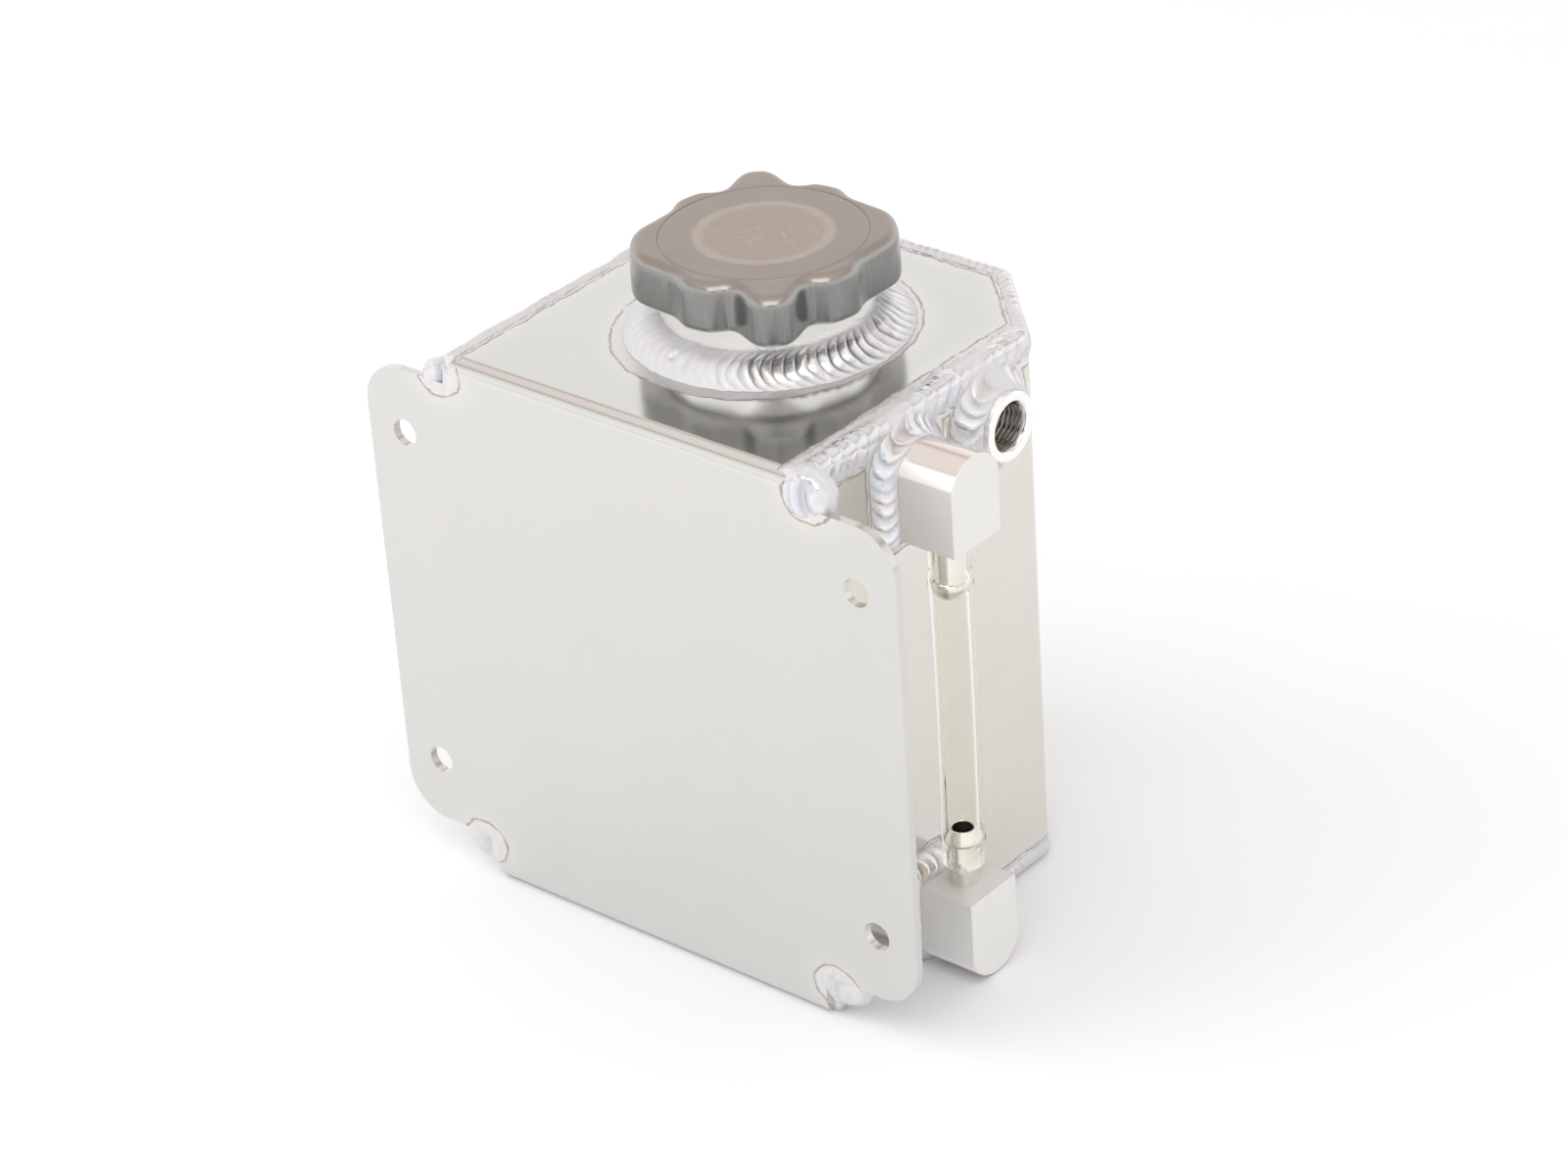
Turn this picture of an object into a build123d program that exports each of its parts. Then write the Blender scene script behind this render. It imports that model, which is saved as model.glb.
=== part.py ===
from build123d import *
import math
import os

# The frame: origin at the centre of the four mounting holes, on the mounting face
# X runs along the mounting plate, Y into the tank, Z up, all in millimetres

# Sheet metal
sheet = 2.3
bend_outer_r = 3.9
bend_inner_r = bend_outer_r - sheet
wall_bend_outer_r = 4.6
wall_bend_inner_r = wall_bend_outer_r - sheet

# Tank body
body_width = 120.4
body_depth = 119.5
top_z = 77.6
bottom_z = -82.8
corner_cut = 26.0

# Mounting plate
ear_reach = 28.7
ear_height = 139.7
ear_corner_r = 12.7
hole_from_end = 12.7
hole_from_top = 19.05
mount_hole_d = 7.94

# Filler neck
neck_y = 61.5
neck_od = 57.0
neck_bore_d = 46.0
neck_shoulder_z = 90.0
thread_land_d = 51.4
neck_rim_z = 99.6
neck_rim_chamfer = 0.8

# Clearances
slip_gap = 0.08
turn_gap = 0.5
seal_gap = 0.05
stack_gap = 0.3

# Sight blocks and tube
block_width = 19.05
block_length = 22.2
block_height = 25.4
block_arch_height = 6.4
block_from_vent = 33.7
upper_block_z = 46.8
lower_block_z = -57.0
barb_offset = 12.7
passage_d = 6.0
passage_rise = 12.0
barb_thread_d = 9.8
barb_thread_length = 8.0
barb_length = 16.8
barb_shank_d = 7.7
barb_bead_d = 9.3
barb_bore_d = 5.75
barb_lip = 0.6
tube_od = 11.1
tube_wall = 1.6
tube_squeeze = 0.05
tube_top_gap = 0.3
tube_end_z = -50.8

# Threaded bungs
bung_od = 19.05
bung_bore_d = 12.4
bung_reach = 8.0
bung_mouth_chamfer = 0.8
vent_from_back = 44.9
vent_z = 61.0
feed_y = 60.0
feed_z = -62.0

# Welds
neck_weld_out = 10.2
neck_weld_up = 6.4
neck_weld_crown = 1.3
edge_weld_in = 6.4
edge_weld_down = 6.2
edge_weld_crown = 1.1
rear_weld_in = 4.2
rear_weld_down = 3.6
rear_weld_crown = 0.5
base_weld_leg = 3.4
base_weld_crown = 0.35
mitre_spare = 12.0
flange_weld_leg = 5.6
flange_weld_crown = 0.5
block_weld_leg = 4.4
bung_weld_leg = 4.6
lump_length = 17.0
lump_depth = 10.4
lump_beyond_wall = 1.6
lump_y = 3.4
lump_on_ear = 3.9
lump_below_top = 0.05
lump_above_bottom = 5.25

# Cap
cap_bottom_z = 90.6
cap_top_z = 103.8
cap_base_r = 31.6
cap_wing_angle = -47.5
cap_wing_rise = 8.3
cap_wing_spread = 10.5
cap_side_rise = 3.4
cap_side_spread = 22.0
cap_barrel_rise = 1.7
cap_barrel_angle = 35.0
cap_barrel_spread = 11.0
cap_outline_points = 48
cap_edge_r = 2.2
cap_foot_r = 0.6
cap_roof = 3.2
cap_bore_d = thread_land_d + 2 * turn_gap
disc_d = 54.6
disc_thickness = 1.2
disc_side_gap = 0.25
disc_edge_r = 0.35

# Cap valve
gasket_width = 2.6
rivet_d = 5.0
rivet_head_d = 9.0
rivet_head_t = 1.0
housing_d = 44.8
housing_bottom_z = 84.0
housing_web = 2.0
housing_seat_d = 22.0
housing_inner_d = 36.8
oring_section_d = 2.4
oring_groove_h = 2.8
oring_z = 93.4
vent_slot_w = 3.0
vent_slot_h = 1.3
vent_slots = 4
valve_seal_t = 0.6
valve_seal_od = 31.0
valve_seal_id = 22.6
valve_plate_d = 32.0
valve_plate_t = 1.5
valve_port_d = 8.0
pressure_spring_d = 26.0
pressure_wire_d = 1.6
pressure_turns = 3.5
vacuum_disc_d = 13.0
vacuum_disc_t = 1.2
vacuum_seal_t = 0.4
vacuum_stem_d = 3.0
vacuum_stem_top_z = 93.2
vacuum_head_d = 11.4
vacuum_head_t = 0.8
vacuum_spring_d = 9.8
vacuum_wire_d = 0.7
vacuum_turns = 4.0

# Values worked out from the ones above
half_width = body_width / 2
plate_width = body_width + 2 * ear_reach
hole_pitch_x = plate_width - 2 * hole_from_end
hole_pitch_z = ear_height - 2 * hole_from_top
vent_y = body_depth - vent_from_back
block_y = vent_y - block_from_vent
lump_x = half_width + lump_beyond_wall
inner_half = half_width - sheet
inner_depth = body_depth - sheet
cut_step = sheet * math.tan(math.radians(22.5))
slope = math.sqrt(0.5)
barb_x = half_width + barb_offset
roof_z = cap_top_z - cap_roof
housing_top_z = roof_z - stack_gap
web_under_z = housing_top_z - housing_web
seat_z = housing_bottom_z + housing_web
plate_z = seat_z + valve_seal_t
plate_top_z = plate_z + valve_plate_t


def write_node(shape, name):
    export_step(shape, os.path.join("parts", name + ".step"))


def main_piece(shape):
    # slivers that a trim leaves behind are dropped
    return max(shape.solids(), key=lambda piece: piece.volume)


def round_bar(x, y, z_low, z_high, radius):
    return Pos(x, y, (z_low + z_high) / 2) * Cylinder(radius, z_high - z_low)


def bar_along_x(x_low, x_high, y, z, radius):
    middle = (x_low + x_high) / 2
    return Pos(middle, y, z) * Rot(0, 90, 0) * Cylinder(radius, x_high - x_low)


def bar_along_y(y_low, y_high, x, z, radius):
    middle = (y_low + y_high) / 2
    return Pos(x, middle, z) * Rot(90, 0, 0) * Cylinder(radius, y_high - y_low)


def block_between(low, high):
    size = [high[i] - low[i] for i in range(3)]
    middle = [(high[i] + low[i]) / 2 for i in range(3)]
    return Pos(*middle) * Box(*size)


def below_bottom():
    # everything lower than the bottom plate's outer face
    low = (-plate_width, -body_depth, 2 * bottom_z)
    high = (plate_width, 2 * body_depth, bottom_z)
    return block_between(low, high)


def before_face():
    # everything in front of the mounting face
    low = (-plate_width, -body_depth, 2 * bottom_z)
    high = (plate_width, 0, 2 * top_z)
    return block_between(low, high)


def turned(profile, x, y):
    # profile holds (radius, height) corners of one closed outline
    corners = [(x + r, y, z) for r, z in profile]
    outline = Polyline(*corners, close=True)
    return revolve(make_face(outline), Axis((x, y, 0), (0, 0, 1)), 360)


def body_outline(edge_x, edge_y, step, z):
    # five-sided tank plan without its front edge: right side, two slanted corners, left side
    side_y = body_depth - corner_cut - step
    back_x = half_width - corner_cut - step
    return [
        (edge_x, 0, z),
        (edge_x, side_y, z),
        (back_x, edge_y, z),
        (-back_x, edge_y, z),
        (-edge_x, side_y, z),
        (-edge_x, 0, z),
    ]


def body_prism(edge_x, edge_y, step, z_low, z_high, bend_r):
    face = make_face(Polyline(*body_outline(edge_x, edge_y, step, z_low), close=True))
    prism = extrude(face, amount=z_high - z_low, dir=(0, 0, 1))
    if bend_r == 0:
        return prism
    bends = [e for e in prism.edges().filter_by(Axis.Z) if e.center().Y > 1]
    return fillet(bends, bend_r)


def front_wrap_sheet():
    depth = inner_depth
    shell = block_between((-inner_half, 0, bottom_z), (inner_half, depth, top_z))
    front_edges = [e for e in shell.edges().filter_by(Axis.X) if e.center().Y < 0.1]
    shell = fillet(front_edges, bend_outer_r)
    room = block_between(
        (-body_width, sheet, bottom_z + sheet), (body_width, 2 * body_depth, top_z - sheet)
    )
    room_edges = [e for e in room.edges().filter_by(Axis.X) if e.center().Y < sheet + 0.1]
    room = fillet(room_edges, bend_inner_r)
    plan = body_prism(inner_half, inner_depth, cut_step, bottom_z - 1, top_z + 1, 0)
    shell = (shell - room) & plan
    ears = Pos(0, sheet / 2, 0) * Box(plate_width, sheet, ear_height)
    ears = fillet(ears.edges().filter_by(Axis.Y), ear_corner_r)
    shell = shell + ears
    for side in (-1, 1):
        for level in (-1, 1):
            shell = shell - bar_along_y(
                -1, sheet + 1, side * hole_pitch_x / 2, level * hole_pitch_z / 2, mount_hole_d / 2
            )
    neck_hole = round_bar(0, neck_y, top_z - 2 * sheet, top_z + 1, neck_od / 2 + slip_gap)
    return shell - neck_hole


def side_and_back_sheet():
    low = bottom_z + sheet
    high = top_z - sheet
    outer = body_prism(half_width, body_depth, 0, low, high, wall_bend_outer_r)
    inner = body_prism(inner_half, inner_depth, cut_step, low, high, wall_bend_inner_r)
    walls = outer - inner
    walls = walls - block_between((-body_width, -1, low - 1), (body_width, sheet, high + 1))
    for z in (upper_block_z + passage_rise, lower_block_z - passage_rise):
        walls = walls - bar_along_x(inner_half - 1, half_width + 1, block_y, z, passage_d / 2)
    hole_r = bung_od / 2 + slip_gap
    walls = walls - bar_along_x(inner_half - 1, half_width + 1, vent_y, vent_z, hole_r)
    walls = walls - bar_along_x(-half_width - 1, -inner_half + 1, feed_y, feed_z, hole_r)
    return walls


def filler_neck():
    return turned(
        [
            (neck_bore_d / 2, top_z - sheet),
            (neck_od / 2, top_z - sheet),
            (neck_od / 2, neck_shoulder_z - 0.5),
            (neck_od / 2 - 0.5, neck_shoulder_z),
            (thread_land_d / 2, neck_shoulder_z),
            (thread_land_d / 2, neck_rim_z - neck_rim_chamfer),
            (thread_land_d / 2 - neck_rim_chamfer, neck_rim_z),
            (neck_bore_d / 2 + neck_rim_chamfer, neck_rim_z),
            (neck_bore_d / 2, neck_rim_z - neck_rim_chamfer),
        ],
        0,
        neck_y,
    )


def sight_block(face_z, up):
    # up is 1 where the arch points up, -1 where it points down
    low_y = block_y - block_width / 2
    high_y = block_y + block_width / 2
    spring_z = face_z + up * (block_height - block_arch_height)
    crown_z = face_z + up * block_height
    x = half_width
    sides = Polyline((x, low_y, spring_z), (x, low_y, face_z), (x, high_y, face_z), (x, high_y, spring_z))
    arch = ThreePointArc((x, high_y, spring_z), (x, block_y, crown_z), (x, low_y, spring_z))
    bar = extrude(make_face(sides + arch), amount=block_length, dir=(1, 0, 0))
    cross_z = face_z + up * passage_rise
    ends = sorted((face_z - up, cross_z))
    bar = bar - round_bar(barb_x, block_y, ends[0], ends[1], passage_d / 2)
    bar = bar - bar_along_x(x - 1, barb_x + passage_d / 2, block_y, cross_z, passage_d / 2)
    mouth = sorted((face_z - up, face_z + up * barb_thread_length))
    return bar - round_bar(barb_x, block_y, mouth[0], mouth[1], barb_thread_d / 2)


def barb_profile(face_z, out):
    # out is the direction the barb points: 1 up, -1 down
    tip = barb_length
    corners = [
        (barb_bore_d / 2, -barb_thread_length),
        (barb_thread_d / 2 - slip_gap, -barb_thread_length),
        (barb_thread_d / 2 - slip_gap, 0),
        (barb_shank_d / 2, 0),
        (barb_shank_d / 2, tip - 4.6),
        (barb_bead_d / 2 - 0.25, tip - 4.1),
        (barb_bead_d / 2, tip - 3.5),
        (barb_bead_d / 2 - 0.15, tip - 2.8),
        (barb_bore_d / 2 + barb_lip, tip),
        (barb_bore_d / 2, tip),
    ]
    return [(r, face_z + out * h) for r, h in corners]


def hose_barb(face_z, out):
    return turned(barb_profile(face_z, out), barb_x, block_y)


def sight_tube():
    top = upper_block_z - tube_top_gap
    plain_r = tube_od / 2 - tube_wall
    upper = barb_profile(upper_block_z, -1)
    lower = barb_profile(lower_block_z, 1)
    upper_shank = upper[3][0] - tube_squeeze
    lower_shank = lower[3][0] - tube_squeeze
    bore = [(upper_shank, top)]
    bore = bore + [(r - tube_squeeze, z) for r, z in upper[4:8]]
    bore = bore + [(plain_r, upper[8][1] - 1.5), (plain_r, lower[8][1] + 1.5)]
    bore = bore + [(r - tube_squeeze, z) for r, z in reversed(lower[4:8])]
    bore = bore + [(lower_shank, tube_end_z)]
    skin = [(lower_shank + tube_wall, tube_end_z)]
    skin = skin + [(r + tube_wall - 0.25, z) for r, z in lower[4:8]]
    skin = skin + [(tube_od / 2, lower[8][1] + 1.5), (tube_od / 2, upper[8][1] - 1.5)]
    skin = skin + [(r + tube_wall - 0.25, z) for r, z in reversed(upper[4:8])]
    skin = skin + [(upper_shank + tube_wall, top)]
    return turned(bore + skin, barb_x, block_y)


def bung(side, y, z):
    # side is 1 on the right wall, -1 on the left wall
    inner = side * inner_half
    outer = side * (half_width + bung_reach)
    bore_r = bung_bore_d / 2
    corners = [
        (inner, bore_r),
        (inner, bung_od / 2),
        (outer - side * bung_mouth_chamfer / 2, bung_od / 2),
        (outer, bung_od / 2 - bung_mouth_chamfer / 2),
        (outer, bore_r + bung_mouth_chamfer),
        (outer - side * bung_mouth_chamfer, bore_r),
    ]
    outline = Polyline(*[(x, y, z + r) for x, r in corners], close=True)
    return revolve(make_face(outline), Axis((0, y, z), (1, 0, 0)), 360)


def neck_weld():
    r = neck_od / 2
    toe = (r + neck_weld_out, neck_y, top_z)
    knee = (r, neck_y, top_z)
    head = (r, neck_y, top_z + neck_weld_up)
    bulge = neck_weld_crown * slope
    middle = (r + neck_weld_out / 2 + bulge - 1.2, neck_y, top_z + neck_weld_up / 2 + bulge)
    outline = Polyline(toe, knee, head) + ThreePointArc(head, middle, toe)
    return revolve(make_face(outline), Axis((0, neck_y, 0), (0, 0, 1)), 360)


def run_between(start, end):
    # a run and its ends are lengthened here and trimmed by its mitre wedge
    length = math.hypot(end[0] - start[0], end[1] - start[1])
    along = ((end[0] - start[0]) / length, (end[1] - start[1]) / length)
    first = (start[0] - along[0] * mitre_spare, start[1] - along[1] * mitre_spare)
    return first, (along[0], along[1], 0), length + 2 * mitre_spare


def edge_bead(start, end, normal, inward, down, crown):
    # bead along a top plate edge: u runs outward from the wall's face, v up from the plate's face
    first, along, length = run_between(start, end)
    bulge = crown * slope

    def place(u, v):
        return (first[0] + normal[0] * u, first[1] + normal[1] * u, top_z + v)

    arc = ThreePointArc(place(-inward, 0), place(bulge, bulge), place(0, -down))
    inside = Polyline(
        place(0, -down), place(0, -sheet), place(-sheet, -sheet), place(-sheet, 0), place(-inward, 0)
    )
    return extrude(make_face(arc + inside), amount=length, dir=along)


def base_bead(start, end, normal):
    # flat-bottomed bead on a bottom plate edge, so that nothing reaches below the plate
    first, along, length = run_between(start, end)
    head = base_weld_leg + sheet

    def place(u, v):
        return (first[0] + normal[0] * u, first[1] + normal[1] * u, bottom_z + v)

    arc = ThreePointArc(place(0, head), place(base_weld_crown, base_weld_leg / 2 + 0.4), place(-sheet, 0))
    inside = Polyline(place(-sheet, 0), place(-sheet, sheet), place(0, sheet), place(0, head))
    return extrude(make_face(arc + inside), amount=length, dir=along)


def mitre_wedge(start, end, out_start, out_end):
    # plan region that one run keeps, cut at its ends along the bisectors of its corners
    corners = []
    for point, out, reach in (
        (start, out_start, mitre_spare),
        (end, out_end, mitre_spare),
        (end, out_end, -mitre_spare),
        (start, out_start, -mitre_spare),
    ):
        corners.append((point[0] + out[0] * reach, point[1] + out[1] * reach, bottom_z - 20))
    face = make_face(Polyline(*corners, close=True))
    return extrude(face, amount=top_z - bottom_z + 40, dir=(0, 0, 1))


def side_run(side, bead):
    start = (side * half_width, sheet)
    end = (side * half_width, body_depth - corner_cut)
    return bead(start, end, (side, 0)) & mitre_wedge(start, end, (side, 0), bisector(side, 22.5))


def bisector(side, degrees):
    angle = math.radians(degrees)
    return (side * math.cos(angle), math.sin(angle))


def rear_run(bead):
    # bead round the slanted corners and the back, in three mitred stretches
    side_y = body_depth - corner_cut
    back_x = half_width - corner_cut
    back_start = (back_x, body_depth)
    back_end = (-back_x, body_depth)
    whole = bead(back_start, back_end, (0, 1)) & mitre_wedge(
        back_start, back_end, bisector(1, 67.5), bisector(-1, 67.5)
    )
    for side in (1, -1):
        start = (side * half_width, side_y)
        end = (side * back_x, body_depth)
        slant = bead(start, end, (side * slope, slope))
        whole = whole + (slant & mitre_wedge(start, end, bisector(side, 22.5), bisector(side, 67.5)))
    return whole


def top_side_bead(start, end, normal):
    return edge_bead(start, end, normal, edge_weld_in, edge_weld_down, edge_weld_crown)


def top_rear_bead(start, end, normal):
    return edge_bead(start, end, normal, rear_weld_in, rear_weld_down, rear_weld_crown)


def upright_fillet(side):
    # fillet between the wall's outer face and the back of the mounting plate
    x = side * half_width
    leg = flange_weld_leg
    bulge = leg / 2 + flange_weld_crown * slope
    low = -ear_height / 2 + 1.5
    toe = (x + side * leg, sheet, low)
    knee = (x, sheet, low)
    head = (x, sheet + leg, low)
    middle = (x + side * bulge, sheet + bulge, low)
    face = make_face(Polyline(toe, knee, head) + ThreePointArc(head, middle, toe))
    return extrude(face, amount=ear_height - 3.0, dir=(0, 0, 1))


def corner_lump(side, level):
    # from the ear's corner to the plate edge, dressed flush in front so that the plate lies flat
    low = ear_height / 2 - lump_on_ear
    high = top_z - lump_below_top
    if level < 0:
        high = -bottom_z - lump_above_bottom
    lump = scale(Sphere(0.5), by=(lump_length, lump_depth, high - low))
    lump = Pos(side * lump_x, lump_y, level * (low + high) / 2) * lump
    return lump - before_face()


def block_fillet(face_z, up):
    # raised band of weld round the foot of a sight block
    leg = block_weld_leg
    low = min(face_z, face_z + up * block_height)
    y0 = block_y - block_width / 2
    y1 = block_y + block_width / 2
    foot = Plane((half_width, block_y, low + block_height / 2), x_dir=(0, 1, 0), z_dir=(1, 0, 0))
    base = foot * RectangleRounded(block_width + 2 * leg, block_height + 2 * leg, leg + 1)
    tip = foot.offset(leg) * RectangleRounded(block_width + 0.6, block_height + 0.6, 1.2)
    skirt = loft([base.face(), tip.face()])
    hole = block_between((half_width - 1, y0, low), (half_width + leg + 1, y1, low + block_height))
    return skirt - hole


def bung_fillet(side, y, z):
    x = side * half_width
    r = bung_od / 2
    leg = bung_weld_leg
    toe = (x, y, z + r + leg)
    knee = (x, y, z + r)
    head = (x + side * leg, y, z + r)
    middle = (x + side * leg * 0.56, y, z + r + leg * 0.56)
    face = make_face(Polyline(toe, knee, head) + ThreePointArc(head, middle, toe))
    return revolve(face, Axis((0, y, z), (1, 0, 0)), 360)


def swell(angle, middle, spread, power):
    return math.exp(-abs((angle - middle) / spread) ** power)


def cap_radius(angle):
    # angle runs from the axis of the two finger wings
    turn = (angle + 90) % 180 - 90
    to_side = 90 - abs(turn)
    reach = cap_base_r + cap_wing_rise * swell(turn, 0, cap_wing_spread, 2)
    reach = reach + cap_barrel_rise * swell(abs(turn), cap_barrel_angle, cap_barrel_spread, 4)
    return reach + cap_side_rise * swell(to_side, 0, cap_side_spread, 4)


def cap_plan():
    # closed smooth curve with two finger wings, two broad sides and four barrels between
    spots = []
    for i in range(cap_outline_points):
        angle = i * 360 / cap_outline_points
        turn = math.radians(angle + cap_wing_angle)
        reach = cap_radius(angle)
        spots.append((reach * math.cos(turn), reach * math.sin(turn)))
    return make_face(Spline(*spots, periodic=True))


def cap_shell():
    height = cap_top_z - cap_bottom_z
    body = extrude(cap_plan(), amount=height)
    top_edges = body.faces().sort_by(Axis.Z)[-1].edges()
    body = fillet(top_edges, cap_edge_r)
    foot_edges = body.faces().sort_by(Axis.Z)[0].edges()
    body = fillet(foot_edges, cap_foot_r)
    body = Pos(0, neck_y, cap_bottom_z) * body
    body = body - round_bar(0, neck_y, cap_bottom_z - 1, roof_z, cap_bore_d / 2)
    recess_r = disc_d / 2 + disc_side_gap
    body = body - round_bar(0, neck_y, cap_top_z - disc_thickness, cap_top_z + 1, recess_r)
    return body - round_bar(0, neck_y, roof_z - 1, cap_top_z - disc_thickness + 1, rivet_d / 2)


def cap_top_disc():
    disc = round_bar(0, neck_y, cap_top_z - disc_thickness, cap_top_z, disc_d / 2)
    return fillet(disc.faces().sort_by(Axis.Z)[-1].edges(), disc_edge_r)


def cap_gasket():
    outer_r = cap_bore_d / 2 - 0.1
    inner_r = outer_r - gasket_width
    ring = round_bar(0, neck_y, neck_rim_z + seal_gap, roof_z, outer_r)
    return ring - round_bar(0, neck_y, neck_rim_z - 1, roof_z + 1, inner_r)


def cap_pivot_rivet():
    head_top = web_under_z - stack_gap
    shaft = round_bar(0, neck_y, head_top - 0.2, cap_top_z - disc_thickness, rivet_d / 2)
    head = round_bar(0, neck_y, head_top - rivet_head_t, head_top, rivet_head_d / 2)
    head = chamfer(head.faces().sort_by(Axis.Z)[0].edges(), 0.3)
    return shaft + head


def valve_housing():
    r = housing_d / 2
    groove_r = neck_bore_d / 2 - seal_gap - oring_section_d
    groove_low = oring_z - oring_groove_h / 2
    groove_high = oring_z + oring_groove_h / 2
    cup = turned(
        [
            (housing_seat_d / 2, housing_bottom_z),
            (r - 1.2, housing_bottom_z),
            (r, housing_bottom_z + 1.2),
            (r, groove_low),
            (groove_r, groove_low),
            (groove_r, groove_high),
            (r, groove_high),
            (r, housing_top_z),
            (rivet_d / 2 + slip_gap, housing_top_z),
            (rivet_d / 2 + slip_gap, web_under_z),
            (housing_inner_d / 2, web_under_z),
            (housing_inner_d / 2, seat_z),
            (housing_seat_d / 2, seat_z),
        ],
        0,
        neck_y,
    )
    slot_z = web_under_z - vent_slot_h / 2 - 0.1
    for i in range(vent_slots):
        slot = Pos(housing_d / 2, 0, 0) * Box(housing_d / 2, vent_slot_w, vent_slot_h)
        cup = cup - Pos(0, neck_y, slot_z) * Rot(0, 0, 45 + i * 360 / vent_slots) * slot
    return cup


def housing_oring():
    ring_r = neck_bore_d / 2 - seal_gap - oring_section_d / 2
    return Pos(0, neck_y, oring_z) * Torus(ring_r, oring_section_d / 2)


def ring_plate(z_low, z_high, outer_d, inner_d):
    plate = round_bar(0, neck_y, z_low, z_high, outer_d / 2)
    return plate - round_bar(0, neck_y, z_low - 1, z_high + 1, inner_d / 2)


def coil(z_low, z_high, mean_d, wire_d, turns):
    # closed ends are flattened by the two trimming planes
    low = z_low + wire_d * 0.3
    high = z_high - wire_d * 0.3
    path = Helix(pitch=(high - low) / turns, height=high - low, radius=mean_d / 2, center=(0, neck_y, low))
    start = path @ 0
    wire = Plane(origin=start, z_dir=path % 0) * Circle(wire_d / 2)
    spring = sweep(wire, path=path, is_frenet=True)
    keep = block_between((-30, neck_y - 30, z_low), (30, neck_y + 30, z_high))
    return spring & keep


def pressure_spring():
    return coil(plate_top_z, web_under_z, pressure_spring_d, pressure_wire_d, pressure_turns)


def vacuum_valve_poppet():
    seal_low = plate_z - vacuum_seal_t
    disc = round_bar(0, neck_y, seal_low - vacuum_disc_t, seal_low, vacuum_disc_d / 2)
    stem = round_bar(0, neck_y, seal_low - 0.2, vacuum_stem_top_z, vacuum_stem_d / 2)
    head = round_bar(0, neck_y, vacuum_stem_top_z - vacuum_head_t, vacuum_stem_top_z, vacuum_head_d / 2)
    return disc + stem + head


def vacuum_spring():
    high = vacuum_stem_top_z - vacuum_head_t
    return coil(plate_top_z, high, vacuum_spring_d, vacuum_wire_d, vacuum_turns)


def build_shell():
    write_node(front_wrap_sheet(), "front_wrap_sheet")
    write_node(side_and_back_sheet(), "side_and_back_sheet")
    write_node(filler_neck(), "filler_neck")


def build_gauge():
    write_node(sight_block(upper_block_z, 1), "upper_sight_block")
    write_node(sight_block(lower_block_z, -1), "lower_sight_block")
    write_node(hose_barb(upper_block_z, -1), "upper_hose_barb")
    write_node(hose_barb(lower_block_z, 1), "lower_hose_barb")
    write_node(sight_tube(), "sight_tube")
    write_node(bung(1, vent_y, vent_z), "vent_bung")
    write_node(bung(-1, feed_y, feed_z), "feed_bung")


def build_welds():
    sheets = front_wrap_sheet() + side_and_back_sheet()
    write_node(neck_weld(), "neck_weld")
    top_rear = rear_run(top_rear_bead)
    bottom_rear = rear_run(base_bead)
    write_node(top_rear, "top_back_weld")
    write_node(bottom_rear, "bottom_back_weld")
    names = {1: "right", -1: "left"}
    tops = {}
    blocks = sight_block(upper_block_z, 1) + sight_block(lower_block_z, -1)
    for side in (1, -1):
        tops[side] = main_piece(side_run(side, top_side_bead) - blocks)
        base_side = main_piece(side_run(side, base_bead) - blocks)
        write_node(base_side, "bottom_" + names[side] + "_weld")
        upright = upright_fillet(side)
        write_node(upright, names[side] + "_flange_weld")
        others = sheets + upright + base_side
        upper = corner_lump(side, 1) - (others + tops[side])
        lower = corner_lump(side, -1) - others - below_bottom()
        write_node(main_piece(upper), "upper_" + names[side] + "_corner_weld")
        write_node(main_piece(lower), "lower_" + names[side] + "_corner_weld")
    upper_fillet = block_fillet(upper_block_z, 1) - blocks - tops[1]
    lower_fillet = block_fillet(lower_block_z, -1) - blocks
    lower_fillet = lower_fillet - side_run(1, base_bead) - below_bottom()
    vent_fillet = bung_fillet(1, vent_y, vent_z) - tops[1]
    write_node(main_piece(upper_fillet), "upper_block_weld")
    write_node(main_piece(lower_fillet), "lower_block_weld")
    write_node(main_piece(vent_fillet), "vent_bung_weld")
    write_node(bung_fillet(-1, feed_y, feed_z), "feed_bung_weld")
    write_node(tops[1], "top_right_weld")
    write_node(tops[-1], "top_left_weld")


def build_cap():
    write_node(cap_shell(), "cap_shell")
    write_node(cap_top_disc(), "cap_top_disc")
    write_node(cap_gasket(), "cap_gasket")
    write_node(cap_pivot_rivet(), "cap_pivot_rivet")
    write_node(valve_housing(), "valve_housing")
    write_node(housing_oring(), "housing_oring")
    seal = ring_plate(seat_z, plate_z, valve_seal_od, valve_seal_id)
    write_node(seal, "pressure_valve_seal")
    plate = ring_plate(plate_z, plate_top_z, valve_plate_d, valve_port_d)
    write_node(plate, "pressure_valve_plate")
    write_node(pressure_spring(), "pressure_spring")
    write_node(vacuum_valve_poppet(), "vacuum_valve_poppet")
    vacuum_seal = ring_plate(plate_z - vacuum_seal_t, plate_z, vacuum_disc_d, vacuum_stem_d)
    write_node(vacuum_seal, "vacuum_valve_seal")
    write_node(vacuum_spring(), "vacuum_spring")


os.makedirs("parts", exist_ok=True)
build_shell()
build_gauge()
build_welds()
build_cap()
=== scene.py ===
import bmesh
import bpy
import math
import numpy as np
from mathutils import Matrix, Vector, noise


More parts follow.
